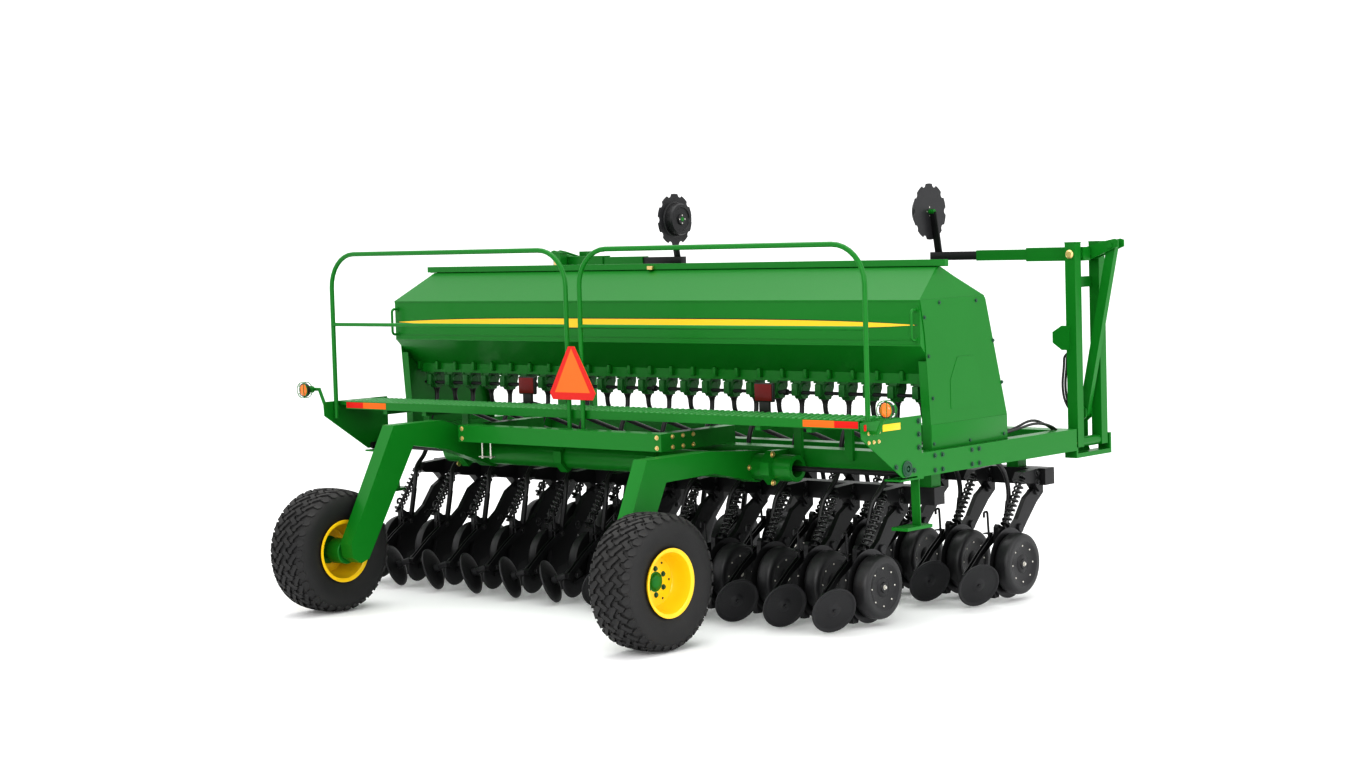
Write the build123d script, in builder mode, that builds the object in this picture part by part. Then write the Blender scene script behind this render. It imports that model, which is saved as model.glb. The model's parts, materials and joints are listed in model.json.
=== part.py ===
"""Towed box seed drill, 24 rows at 7.5 inches, standing on its two tyres and its tongue jack.

Millimetres. +X is the machine's right, +Y points forward to the hitch, +Z is up.
It is drawn with the floor at Z = 0, the middle plane at X = 0 and the rear wall of the seed box
at Y = 0. Each piece is then written about the middle of the drill's length.
"""
import os
from math import cos, hypot, radians, sin

from build123d import *

os.makedirs("parts", exist_ok=True)

# Rows and ranks of openers
row_count = 24
row_pitch = 190.5
rank_gap = 1270.0
rear_disc_y = -100.0
disc_radius = 230.0
disc_floor_clearance = 12.0
disc_z = disc_radius + disc_floor_clearance

# Frame
beam_width = 100.0
beam_height = 145.0
beam_top = 1083.0
beam_bottom = beam_top - beam_height
frame_half_width = 2400.0
frame_rear_y = -125.0
frame_front_y = 1690.0
tube_inner_x = frame_half_width - beam_width
mid_tube_y = 300.0
mid_tube_depth = 120.0

# Toolbars that carry the openers
toolbar_size = 110.0
toolbar_z = 775.0
toolbar_reach = 400.0
toolbar_half_length = frame_half_width - 140.0

# Seed box
box_half_length = frame_half_width - 45.0
box_wall = 4.0
box_depth = 700.0
bend_z = 2009.0
ridge_z = 2203.0
ridge_y = 321.0
ridge_depth = 24.0
ridge_half_length = box_half_length - 93.0
face_bottom_z = 1728.0
front_wall_bottom_z = 1860.0
hopper_floor_z = 1544.0
hopper_floor_rear_y = 180.0
hopper_floor_front_y = 300.0
panel_thickness = 5.0
panel_front_y = 925.0
panel_seam_z = 1240.0

# Lid
lid_thickness = 5.0
lid_lip_height = 40.0
lid_lip_depth = 34.0
lid_half_length = box_half_length - 25.0
lid_gap = 0.3

# Meters under the box
rail_height = 64.0
meter_y = 237.0
meter_bottom_z = 1362.0
outlet_bottom_z = 1317.0
hose_radius = 16.0

# Walkboard and handrails
walkboard_top = 1313.0
walkboard_lip = 54.0
walkboard_rear_y = -561.0
walkboard_front_y = -230.0
walkboard_half_length = frame_half_width - 105.0
rail_tube_radius = 16.0
rail_y = walkboard_rear_y - rail_tube_radius - 3.7
rail_top_z = 2365.0
mid_rail_z = 1865.0
rail_inner_x = 62.0
rail_corner_radius = 240.0

# Rear beam under the walkboard
rear_beam_size = 112.0
rear_beam_left_x = -985.0
rear_beam_right_x = 850.0

# Rockshaft, wheel arms and transport wheels
shaft_y = -232.0
shaft_z = 966.0
shaft_radius = 84.0
shaft_left_x = -1560.0
shaft_right_x = 1560.0
shaft_bore_radius = 56.0
shaft_bore_depth = 150.0
drive_radius = 17.0
drive_flange_radius = 26.0
arm_width = 110.0
arm_outer_x = 1240.0
wheel_x = 1438.0
wheel_y = -1490.0
tyre_radius = 411.0
tyre_width = 330.0
rim_radius = 190.0
flange_radius = 208.0
axle_radius = 32.0

# Row markers
mast_x = frame_half_width - 48.0
mast_pivot_z = 985.0
mast_top_z = 2310.0
mast_rear_y = 1722.0
mast_front_y = 2060.0
mast_post = 76.0
link_foot = (frame_half_width - 100.0, 1172.0)
link_ear = (187.0, 52.0)
link_y = 1960.0
link_width = 46.0
link_gap = 7.0
ear_thickness = 12.0
marker_pivot_z = 2238.0
marker_arm_y = 1862.0
marker_disc_x = 1157.0
marker_disc_z = 2549.0
marker_disc_radius = 195.0

# Tongue and jack
tongue_size = 150.0
hitch_y = 3656.0
hitch_ear_reach = 45.0
hitch_length = 160.0
hitch_z = 500.0
hitch_pin_radius = 16.5
jack_y = 3050.0


def beam_x(y0, y1, z0, z1, x0, x1):
    """A bar along X with a rectangular section."""
    with Locations(((x0 + x1) / 2, (y0 + y1) / 2, (z0 + z1) / 2)):
        Box(x1 - x0, y1 - y0, z1 - z0)


def side_plate(points, x0, thickness, mode=Mode.ADD):
    """A plate with a Y-Z outline, from x0 over its thickness towards +X."""
    with BuildSketch(Plane.YZ.offset(x0)) as outline:
        Polygon(*points, align=None)
    extrude(outline.sketch, amount=thickness, dir=(1, 0, 0), mode=mode)


def round_bar(start, end, radius, mode=Mode.ADD):
    """A round bar between two points."""
    way = Vector(*end) - Vector(*start)
    with BuildSketch(Plane(origin=start, z_dir=way.normalized())) as section:
        Circle(radius)
    extrude(section.sketch, amount=way.length, mode=mode)


def square_bar(start, end, width, height):
    """A bar between two points whose width lies level."""
    way = Vector(*end) - Vector(*start)
    level = Vector(-way.Y, way.X, 0)
    if level.length < 1.0:
        level = Vector(1, 0, 0)
    with BuildSketch(Plane(origin=start, x_dir=level.normalized(), z_dir=way.normalized())) as section:
        Rectangle(width, height)
    extrude(section.sketch, amount=way.length)


def turned(profile, centre, axis):
    """A solid of revolution from (along axis, radius) points."""
    plane = Plane(origin=centre, x_dir=axis, z_dir=Vector(*axis).cross(Vector(0, 0, 1)).normalized())
    with BuildSketch(plane) as section:
        Polygon(*profile, align=None)
    revolve(section.sketch, axis=Axis(centre, axis))


def rod(start, end, radius, side_count=6):
    """A slim bar with flat sides, for what repeats on every row."""
    way = Vector(*end) - Vector(*start)
    with BuildSketch(Plane(origin=start, z_dir=way.normalized())) as section:
        RegularPolygon(radius, side_count)
    extrude(section.sketch, amount=way.length)


def closed_solid(faces):
    """The solid inside a closed set of flat faces."""
    solid = Solid(Shell(faces))
    if solid.volume < 0:
        solid = Solid(Shell([-face for face in faces]))
    add(solid)


def faceted(profile, centre, axis, side_count):
    """A wheel with flat sides, from a closed loop of (along axis, radius) points."""
    way = Vector(*axis).normalized()
    across = way.cross(Vector(0, 1, 0)).normalized()
    upward = way.cross(across)
    rings = []
    for along, radius in profile:
        turns = [radians(360 * index / side_count) for index in range(side_count)]
        hub_point = Vector(*centre) + way * along
        ring = [hub_point + across * (radius * cos(turn)) + upward * (radius * sin(turn)) for turn in turns]
        rings.append(ring)
    faces = []
    for ring, following in zip(rings, rings[1:] + rings[:1]):
        for index in range(side_count):
            ahead = (index + 1) % side_count
            outline = (ring[index], following[index], following[ahead], ring[ahead])
            faces.append(Face(Wire.make_polygon(outline)))
    closed_solid(faces)


def rounded_corner(corner, before, after, radius, run_count=4):
    """The points of a bend between two runs that meet at a right angle."""
    back = (Vector(*before) - Vector(*corner)).normalized() * radius
    ahead = (Vector(*after) - Vector(*corner)).normalized() * radius
    turns = [radians(90 * step / run_count) for step in range(run_count + 1)]
    return [tuple(Vector(*corner) + back * (1 - sin(turn)) + ahead * (1 - cos(turn))) for turn in turns]


def mitred_tube(points, radius, side_count=6):
    """A tube with flat sides along straight runs with mitred joints."""
    places = [Vector(*point) for point in points]
    ways = [(after - before).normalized() for before, after in zip(places, places[1:])]
    start_plane = Plane(origin=places[0], z_dir=ways[0])
    turns = [radians(360 * index / side_count) for index in range(side_count)]
    ring_x, ring_y = start_plane.x_dir, start_plane.y_dir
    ring = [places[0] + (ring_x * cos(turn) + ring_y * sin(turn)) * radius for turn in turns]
    faces = [Face(Wire.make_polygon(ring))]
    for way, next_way, joint in zip(ways, ways[1:] + ways[-1:], places[1:]):
        across = (way + next_way).normalized()
        following = [corner + way * ((joint - corner).dot(across) / way.dot(across)) for corner in ring]
        for index in range(side_count):
            ahead = (index + 1) % side_count
            outline = (ring[index], following[index], following[ahead], ring[ahead])
            faces.append(Face(Wire.make_polygon(outline)))
        ring = following
    faces.append(Face(Wire.make_polygon(ring)))
    closed_solid(faces)


def row_x(index):
    return (index - (row_count - 1) / 2) * row_pitch


def save(piece, label):
    """Write a finished piece about the middle of the drill's length."""
    placed = piece.part.moved(Location((0, -middle_y, 0)))
    placed.label = label
    export_step(placed, "parts/" + label + ".step")


middle_y = (wheel_y - tyre_radius + hitch_y + hitch_ear_reach) / 2
rear_rows = [row_x(i) for i in range(0, row_count, 2)]
front_rows = [row_x(i) for i in range(1, row_count, 2)]
rear_toolbar_y = rear_disc_y + toolbar_reach
front_toolbar_y = rear_toolbar_y + rank_gap
sides = ((-1, "left"), (1, "right"))

# Side beams
with BuildPart() as side_beams:
    for side, _ in sides:
        x0 = side * (frame_half_width - beam_width / 2)
        with Locations((x0, (frame_rear_y + frame_front_y) / 2, beam_top - beam_height / 2)):
            Box(beam_width, frame_front_y - frame_rear_y, beam_height)
save(side_beams, "side_beams")

# Cross tubes between the side beams
rear_tube_y = frame_rear_y + beam_height
cross_rows = (
    (frame_rear_y, rear_tube_y),
    (mid_tube_y - mid_tube_depth / 2, mid_tube_y + mid_tube_depth / 2),
    (frame_front_y - beam_height, frame_front_y),
)
with BuildPart() as cross_tubes:
    for y0, y1 in cross_rows:
        beam_x(y0, y1, beam_bottom, beam_top, -tube_inner_x, tube_inner_x)
save(cross_tubes, "cross_tubes")

# Toolbars and their hangers
hanger_picks = (0, 4, 7, 11)
toolbar_top = toolbar_z + toolbar_size / 2
half_bar = toolbar_size / 2
with BuildPart() as toolbars:
    for toolbar_y in (rear_toolbar_y, front_toolbar_y):
        beam_x(toolbar_y - half_bar, toolbar_y + half_bar, toolbar_z - half_bar, toolbar_top,
               -toolbar_half_length, toolbar_half_length)
save(toolbars, "toolbars")
with BuildPart() as hangers:
    for toolbar_y, other_rows in ((rear_toolbar_y, front_rows), (front_toolbar_y, rear_rows)):
        hanger_z = (toolbar_top + beam_bottom) / 2
        with Locations(*[(other_rows[pick], toolbar_y, hanger_z) for pick in hanger_picks]):
            Box(90, 100, beam_bottom - toolbar_top)
save(hangers, "hangers")

# Side plates that carry the walkboard's ends
plate_thickness = 8.0
plate_outline = (
    (-683, walkboard_top),
    (frame_rear_y + 50, walkboard_top),
    (frame_rear_y + 50, beam_top),
    (frame_rear_y, beam_top),
    (frame_rear_y, beam_bottom + 10),
    (frame_rear_y - 150, beam_bottom + 10),
    (-677, 1213),
)
with BuildPart() as side_plates:
    for side, _ in sides:
        x0 = frame_half_width - plate_thickness if side > 0 else -frame_half_width
        side_plate(plate_outline, x0, plate_thickness)
save(side_plates, "side_plates")

# Rear beam with its two returns over the frame
rear_beam_y1 = rail_y - rail_tube_radius - 0.3
rear_beam_y0 = rear_beam_y1 - rear_beam_size
rear_beam_z0 = beam_top
rear_beam_z1 = beam_top + rear_beam_size
with BuildPart() as rear_beam:
    beam_x(rear_beam_y0, rear_beam_y1, rear_beam_z0, rear_beam_z1, rear_beam_left_x, rear_beam_right_x)
    for x0, x1 in ((rear_beam_left_x, rear_beam_left_x + 100), (rear_beam_right_x - 100, rear_beam_right_x)):
        beam_x(rear_beam_y1, rear_tube_y, rear_beam_z0, rear_beam_z1, x0, x1)
save(rear_beam, "rear_beam")

# Walkboard: a folded channel with an outrigger at each end
with BuildPart() as walkboard:
    with BuildSketch(Plane.YZ.offset(-walkboard_half_length)):
        Polygon(
            (walkboard_rear_y, walkboard_top),
            (walkboard_front_y, walkboard_top),
            (walkboard_front_y, walkboard_top - walkboard_lip),
            (walkboard_front_y - 4, walkboard_top - walkboard_lip),
            (walkboard_front_y - 4, walkboard_top - 4),
            (walkboard_rear_y + 4, walkboard_top - 4),
            (walkboard_rear_y + 4, walkboard_top - walkboard_lip),
            (walkboard_rear_y, walkboard_top - walkboard_lip),
            align=None,
        )
    extrude(amount=2 * walkboard_half_length)
    for side, _ in sides:
        x0, x1 = walkboard_half_length - 60, frame_half_width - plate_thickness
        lo, hi = (x0, x1) if side > 0 else (-x1, -x0)
        beam_x(walkboard_rear_y + 20, walkboard_front_y - 20, walkboard_top - 30, walkboard_top - 2, lo, hi)
save(walkboard, "walkboard")

# Stays from the rear cross tube up to the walkboard
with BuildPart() as walkboard_stays:
    arm_z = walkboard_top - walkboard_lip - 15
    for x in (-1900, -1500, 1500, 1900):
        beam_x(frame_rear_y - 24, frame_rear_y, beam_top - 60, arm_z + 15, x - 30, x + 30)
        beam_x(walkboard_rear_y + 20, frame_rear_y - 24, arm_z - 15, arm_z + 15, x - 20, x + 20)
        beam_x(walkboard_rear_y + 4, walkboard_front_y - 4, arm_z + 15, walkboard_top - 4, x - 20, x + 20)
save(walkboard_stays, "walkboard_stays")

# Handrail hoops
rail_outer_x = frame_half_width - plate_thickness - rail_tube_radius - 0.3
with BuildPart() as handrails:
    for side, _ in sides:
        outer = side * rail_outer_x
        inner = side * rail_inner_x
        outer_foot = (outer, rail_y, 1190)
        outer_top = (outer, rail_y, rail_top_z)
        inner_top = (inner, rail_y, rail_top_z)
        inner_foot = (inner, rail_y, rear_beam_z0 + 20)
        mitred_tube(
            (
                outer_foot,
                *rounded_corner(outer_top, outer_foot, inner_top, rail_corner_radius),
                *rounded_corner(inner_top, outer_top, inner_foot, rail_corner_radius),
                inner_foot,
            ),
            rail_tube_radius,
            12,
        )
        rod((outer, rail_y, mid_rail_z), (inner, rail_y, mid_rail_z), rail_tube_radius * 0.8, 10)
        foot = frame_half_width - plate_thickness
        lo, hi = (foot - 30, foot) if side > 0 else (-foot, -foot + 30)
        beam_x(rail_y - 8, rail_y + 8, walkboard_top - 113, walkboard_top - 23, lo, hi)
save(handrails, "handrails")

# Seed box: a hopper under a hipped roof, open through its front slope
lower_outline = (
    (0, face_bottom_z),
    (0, bend_z),
    (box_depth, bend_z),
    (box_depth, front_wall_bottom_z),
    (hopper_floor_front_y, hopper_floor_z),
    (hopper_floor_rear_y, hopper_floor_z),
)
inner_outline = (
    (box_wall, face_bottom_z + 2),
    (box_wall, bend_z + 1),
    (box_depth - box_wall, bend_z + 1),
    (box_depth - box_wall, front_wall_bottom_z + 2),
    (hopper_floor_front_y - 2, hopper_floor_z + box_wall),
    (hopper_floor_rear_y + 2, hopper_floor_z + box_wall),
)
ridge_mid_y = ridge_y + ridge_depth / 2
hinge_y = box_depth + 18
hinge_z = bend_z + 12
lid_hinge_rows = (-1800.0, -900.0, 0.0, 900.0, 1800.0)
knuckle_half = 30.0
knuckle_radius = 9.0
knuckle_play = 1.0
lid_pin_radius = 5.0
with BuildPart() as seed_box:
    side_plate(lower_outline, -box_half_length, 2 * box_half_length)
    with BuildSketch(Plane.XY.offset(bend_z)):
        with Locations((0, box_depth / 2)):
            Rectangle(2 * box_half_length, box_depth)
    with BuildSketch(Plane.XY.offset(ridge_z)):
        with Locations((0, ridge_mid_y)):
            Rectangle(2 * ridge_half_length, ridge_depth)
    loft(ruled=True)
    side_plate(inner_outline, -box_half_length + box_wall, 2 * (box_half_length - box_wall), Mode.SUBTRACT)
    with BuildSketch(Plane.XY.offset(bend_z)):
        with Locations((0, box_depth / 2)):
            Rectangle(2 * (box_half_length - 2 * box_wall), box_depth - 4 * box_wall)
    with BuildSketch(Plane.XY.offset(ridge_z - 2 * box_wall)):
        with Locations((0, ridge_mid_y)):
            Rectangle(2 * (ridge_half_length - 2 * box_wall), ridge_depth - 2 * box_wall)
    loft(ruled=True, mode=Mode.SUBTRACT)
    hatch_half = ridge_half_length - 60
    with Locations((0, (ridge_y + ridge_depth + box_depth) / 2, (bend_z + ridge_z) / 2 + 30)):
        hatch_depth = box_depth - ridge_y - ridge_depth - 60
        Box(2 * hatch_half, hatch_depth, ridge_z - bend_z + 58, mode=Mode.SUBTRACT)
    for x in lid_hinge_rows:
        for end in (-1, 1):
            x0, x1 = sorted((x + end * knuckle_half, x + end * 3 * knuckle_half))
            side_plate(
                (
                    (box_depth - 2, bend_z - 34),
                    (box_depth, bend_z - 34),
                    (hinge_y + 8, hinge_z - 4),
                    (hinge_y - 4, hinge_z + 5),
                    (box_depth, bend_z - 8),
                    (box_depth - 2, bend_z - 8),
                ),
                x0,
                x1 - x0,
            )
            round_bar((x0, hinge_y, hinge_z), (x1, hinge_y, hinge_z), knuckle_radius)
        pin_x0, pin_x1 = x - 2 * knuckle_half, x + 2 * knuckle_half
        round_bar((pin_x0, hinge_y, hinge_z), (pin_x1, hinge_y, hinge_z), lid_pin_radius)
save(seed_box, "seed_box")

# Lid over the front slope, hinged at the box's front edge
slope = Vector(0, box_depth - ridge_y - ridge_depth, bend_z - ridge_z)
slope_length = slope.length
slope_down = slope.normalized()
slope_up = Vector(0, -slope_down.Z, slope_down.Y)
with BuildPart() as lid:
    lid_start = Vector(0, ridge_y + ridge_depth, ridge_z) + slope_up * (lid_gap + 0.2)
    with BuildSketch(Plane(origin=lid_start, x_dir=(1, 0, 0), z_dir=slope_up)):
        Polygon(
            (-ridge_half_length, 0),
            (ridge_half_length, 0),
            (ridge_half_length + 62, slope_length - 4),
            (-ridge_half_length - 62, slope_length - 4),
            align=None,
        )
    extrude(amount=lid_thickness)
    lip_y0 = ridge_y - 6
    side_plate(
        (
            (lip_y0, ridge_z + 4),
            (lip_y0, ridge_z + 4 + lid_lip_height),
            (ridge_y + ridge_depth + 6, ridge_z + 4 + lid_lip_height),
            (ridge_y + ridge_depth + 6, ridge_z),
            (ridge_y + ridge_depth + 1, ridge_z + 0.6),
            (ridge_y + ridge_depth - 6, ridge_z + 4),
        ),
        -lid_half_length,
        2 * lid_half_length,
    )
    slope_rise = (ridge_z - bend_z) / (box_depth - ridge_y - ridge_depth)
    strap_low_z = bend_z + round(40 * slope_rise + 2.74, 1)
    for x in lid_hinge_rows:
        x0 = x - knuckle_half + knuckle_play
        length = 2 * (knuckle_half - knuckle_play)
        side_plate(
            (
                (box_depth - 40, strap_low_z),
                (box_depth - 40, strap_low_z + 5.4),
                (hinge_y, hinge_z + knuckle_radius),
                (hinge_y, hinge_z + 2),
                (box_depth + 4, bend_z + 10),
            ),
            x0,
            length,
        )
        round_bar((x0, hinge_y, hinge_z), (x0 + length, hinge_y, hinge_z), knuckle_radius)
        with Locations(Plane(origin=(x, hinge_y, hinge_z), z_dir=(1, 0, 0))):
            Cylinder(lid_pin_radius + 0.3, 3 * knuckle_half, mode=Mode.SUBTRACT)
save(lid, "lid")

# End panels with a rear flange
panel_outline = (
    (0, bend_z),
    (box_depth, bend_z),
    (panel_front_y, panel_seam_z),
    (panel_front_y, beam_top),
    (83, beam_top),
    (83, panel_seam_z),
    (42, 1792),
)
door_rise = 2.0
door_outline = ((300, 1320), (300, 1500), (380, 1640), (560, 1640), (630, 1540), (630, 1320))
with BuildPart() as end_panels:
    for side, _ in sides:
        x0 = box_half_length if side > 0 else -box_half_length - panel_thickness
        with BuildSketch(Plane.YZ.offset(x0)) as outline:
            Polygon(*panel_outline, align=None)
            fillet(outline.vertices().sort_by_distance((box_depth, bend_z))[0], 40)
            fillet(outline.vertices().sort_by_distance((panel_front_y, panel_seam_z))[0], 120)
        extrude(outline.sketch, amount=panel_thickness, dir=(1, 0, 0))
        door_x0 = x0 + panel_thickness if side > 0 else x0 - door_rise
        with BuildSketch(Plane.YZ.offset(door_x0)) as outline:
            Polygon(*door_outline, align=None)
            fillet(outline.vertices(), 12)
        extrude(outline.sketch, amount=door_rise, dir=(1, 0, 0))
        flange_x0 = box_half_length - 60 if side > 0 else -box_half_length
        side_plate(
            ((56, 1630), (61, 1630), (88, panel_seam_z), (88, beam_top), (83, beam_top), (83, panel_seam_z)),
            flange_x0,
            60,
        )
        side_plate(
            (
                (panel_front_y - 5, beam_top),
                (panel_front_y, beam_top),
                (panel_front_y, panel_seam_z),
                (box_depth + 45, bend_z - 150),
                (box_depth + 39, bend_z - 150),
                (panel_front_y - 5, panel_seam_z),
            ),
            flange_x0,
            60,
        )
save(end_panels, "end_panels")

# Meter rail under the hopper
rail_bottom_z = hopper_floor_z - rail_height
with BuildPart() as meter_rail:
    beam_x(hopper_floor_rear_y, hopper_floor_front_y, rail_bottom_z, hopper_floor_z, -box_half_length + 61,
           box_half_length - 61)
save(meter_rail, "meter_rail")

# Seed meters: one casting under the rail for each row
with BuildPart() as meter:
    side_plate(
        (
            (-52, rail_bottom_z),
            (60, rail_bottom_z),
            (60, rail_bottom_z - 40),
            (44, rail_bottom_z - 72),
            (24, meter_bottom_z),
            (-24, meter_bottom_z),
            (-48, rail_bottom_z - 84),
            (-60, rail_bottom_z - 50),
        ),
        -30,
        60,
    )
    with Locations((0, 4, rail_bottom_z - 5)):
        Box(84, 116, 10)
with BuildPart() as seed_meters:
    with Locations(*[(row_x(i), meter_y, 0) for i in range(row_count)]):
        add(meter.part)
save(seed_meters, "seed_meters")

# Outlets under the meters
with BuildPart() as outlet:
    with BuildSketch(Plane.XY.offset(meter_bottom_z)):
        RegularPolygon(24, 6)
    extrude(amount=outlet_bottom_z - meter_bottom_z, taper=8)
with BuildPart() as seed_outlets:
    with Locations(*[(row_x(i), meter_y, 0) for i in range(row_count)]):
        add(outlet.part)
save(seed_outlets, "seed_outlets")

# Opener lateral layout, measured outwards from the disc's plane
arm_x0 = -47.0
arm_x1 = -13.0
disc_thickness = 5.0
gauge_inner_x = 6.0
gauge_width = 112.0
gauge_radius = 200.0
axle_pin_radius = 15.0
bore_gap = 0.3
spring_x = 20.0
spring_radius = 32.0
spring_top = (141.0, 540.0)
spring_foot = (-66.0, 262.0)
spring_inset = 26.0
spring_seat = 6.0
seed_tube_top = (50.0, 400.0)
seed_tube_foot = (-10.0, 120.0)
closer_pivot = (-62.0, 176.0)
closer_centre = (48.0, -431.0, -88.0)
closer_radius = 148.0
closer_toe = 25.0
closer_lean = 20.0
press_centre = (-18.0, -280.0, -108.0)
press_radius = 105.0
press_bore_radius = 10.6
closer_bore_radius = 12.6

closer_axis = Vector(
    cos(radians(closer_lean)) * cos(radians(closer_toe)),
    -cos(radians(closer_lean)) * sin(radians(closer_toe)),
    -sin(radians(closer_lean)),
)

# Opener arm casting, with its toolbar clamp, spring seats, seed tube and boot
spring_dir = Vector(0, spring_foot[0] - spring_top[0], spring_foot[1] - spring_top[1]).normalized()
spring_start = Vector(spring_x, *spring_top) + spring_dir * spring_inset
spring_end = Vector(spring_x, *spring_foot)
foot_pin = (spring_foot[0] + spring_dir.Y * spring_inset, spring_foot[1] + spring_dir.Z * spring_inset)
seat_back = spring_start - spring_dir * (spring_seat + bore_gap)
seat_across = Vector(0, -spring_dir.Z, spring_dir.Y)
seat_upper = seat_back + spring_dir * 2 - seat_across * 8
seat_lower = seat_back + spring_dir * 2 + seat_across * 24
bar_y = toolbar_reach
bar_z = toolbar_z - disc_z
bar_half = toolbar_size / 2
with BuildPart() as opener_arm:
    side_plate(
        (
            (bar_y - bar_half, bar_z - bar_half - 16),
            (bar_y + bar_half - 10, bar_z - bar_half),
            (bar_y + bar_half - 10, bar_z - bar_half - 60),
            (bar_y - 40, bar_z - bar_half - 120),
            (250, 250),
            (120, 120),
            (44, -20),
            (0, -46),
            (-60, -60),
            (-110, -214),
            (-160, -214),
            (-150, -60),
            (-112, 60),
            (foot_pin[0] - 24, foot_pin[1]),
            (foot_pin[0] - 6, foot_pin[1] + 20),
            (foot_pin[0] + 18, foot_pin[1] + 8),
            (20, 190),
            (130, 270),
            (230, 400),
        ),
        arm_x0,
        arm_x1 - arm_x0,
    )
    side_plate(
        (
            (bar_y - bar_half, bar_z - bar_half - 46),
            (bar_y - bar_half, bar_z + bar_half),
            (spring_top[0] + 20, bar_z + bar_half - 10),
            (seat_upper.Y, seat_upper.Z),
            (seat_lower.Y, seat_lower.Z),
            (bar_y - bar_half - 60, bar_z - 40),
        ),
        arm_x0,
        70,
    )
    rod((arm_x0, 0, 0), (gauge_inner_x + gauge_width * 0.62, 0, 0), axle_pin_radius)
    rod((arm_x0, *foot_pin), (spring_x + 14, *foot_pin), 9)
    foot_seat = spring_end + spring_dir * bore_gap
    rod(tuple(foot_seat), (spring_x, *foot_pin), 12)
    rod(tuple(foot_seat), tuple(foot_seat + spring_dir * spring_seat), spring_radius + 2, 8)
    rod(tuple(seat_back), tuple(seat_back + spring_dir * spring_seat), spring_radius + 2, 8)
    rod((-30, *seed_tube_top), (-30, *seed_tube_foot), hose_radius + 3)
    rod((press_centre[0] - 26, press_centre[1], press_centre[2]), (-8, press_centre[1], press_centre[2]), 10)
    side_plate(
        (
            (-150, -60),
            (-140, -100),
            (press_centre[1] - 12, press_centre[2] - 12),
            (press_centre[1] - 12, press_centre[2] + 12),
        ),
        arm_x0,
        12,
    )

# Coil spring between the clamp and the arm
with BuildPart() as opener_spring:
    rod(tuple(spring_start), tuple(spring_end), spring_radius, 8)

# Disc blade, gauge wheel, press wheel and closing wheel
with BuildPart() as opener_disc:
    half_blade = disc_thickness / 2
    faceted(
        (
            (-half_blade, axle_pin_radius + bore_gap),
            (-half_blade, disc_radius - 14),
            (0, disc_radius),
            (half_blade, disc_radius - 14),
            (half_blade, axle_pin_radius + bore_gap),
        ),
        (0, 0, 0),
        (1, 0, 0),
        18,
    )
with BuildPart() as gauge_wheel:
    faceted(
        (
            (0, axle_pin_radius + bore_gap),
            (0, gauge_radius - 24),
            (22, gauge_radius),
            (gauge_width - 22, gauge_radius),
            (gauge_width, gauge_radius - 30),
            (gauge_width - 18, 120),
            (gauge_width - 18, axle_pin_radius + bore_gap),
        ),
        (gauge_inner_x, 0, 0),
        (1, 0, 0),
        16,
    )
with BuildPart() as press_wheel:
    faceted(
        (
            (-12, press_bore_radius),
            (-12, press_radius - 12),
            (0, press_radius),
            (12, press_radius - 12),
            (12, press_bore_radius),
        ),
        press_centre,
        (1, 0, 0),
        12,
    )
with BuildPart() as closing_wheel:
    faceted(
        (
            (-8, closer_bore_radius),
            (-12, closer_radius - 30),
            (-8, closer_radius),
            (6, closer_radius),
            (6, closer_radius - 10),
            (-3, closer_radius - 30),
            (8, 38),
            (8, closer_bore_radius),
        ),
        closer_centre,
        tuple(closer_axis),
        14,
    )

# Closing arm: two straps from the arm casting to the closing wheel's spindle
hub_back = Vector(*closer_centre) - closer_axis * 118
strap_outline = (
    (closer_pivot[0] + 18, closer_pivot[1] + 14),
    (closer_pivot[0] - 12, closer_pivot[1] + 20),
    (-230, 96),
    (hub_back.Y - 10, hub_back.Z + 18),
    (hub_back.Y - 14, hub_back.Z - 16),
    (hub_back.Y + 14, hub_back.Z - 16),
    (-214, 68),
    (closer_pivot[0] + 8, closer_pivot[1] - 22),
)
with BuildPart() as closing_arm:
    side_plate(strap_outline, -70, 8)
    side_plate(strap_outline, -96, 8)
    rod((-96, *closer_pivot), (arm_x0, *closer_pivot), 13)
    rod((-99, hub_back.Y, hub_back.Z), (-60, hub_back.Y, hub_back.Z), 22)
    rod(tuple(hub_back - closer_axis * 14), tuple(Vector(*closer_centre) + closer_axis * 14), 12)

opener_pieces = (
    (opener_arm, "opener_arms"),
    (opener_spring, "opener_springs"),
    (opener_disc, "opener_discs"),
    (gauge_wheel, "gauge_wheels"),
    (press_wheel, "press_wheels"),
    (closing_wheel, "closing_wheels"),
    (closing_arm, "closing_arms"),
)
opener_places = [(x, rear_disc_y, disc_z) for x in rear_rows]
opener_places += [(x, rear_disc_y + rank_gap, disc_z) for x in front_rows]
for piece, label in opener_pieces:
    mirrored = mirror(piece.part, about=Plane.YZ, mode=Mode.PRIVATE)
    with BuildPart() as all_rows:
        with Locations(*[place for place in opener_places if place[0] > 0]):
            add(piece.part)
        with Locations(*[place for place in opener_places if place[0] < 0]):
            add(mirrored)
    save(all_rows, label)

# Seed hoses from the outlets to the openers' seed tubes
def seed_hose(x, disc_y, waypoints):
    side = 1 if x > 0 else -1
    end_x = x - side * 30
    end_y = disc_y + seed_tube_top[0]
    end_z = disc_z + seed_tube_top[1]
    way = Vector(0, seed_tube_top[0] - seed_tube_foot[0], seed_tube_top[1] - seed_tube_foot[1]).normalized()
    last = (end_x, end_y + way.Y * 90, end_z + way.Z * 90)
    points = [(x, meter_y, outlet_bottom_z), *[(x, y, z) for y, z in waypoints], last, (end_x, end_y, end_z)]
    mitred_tube(points, hose_radius)


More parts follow.
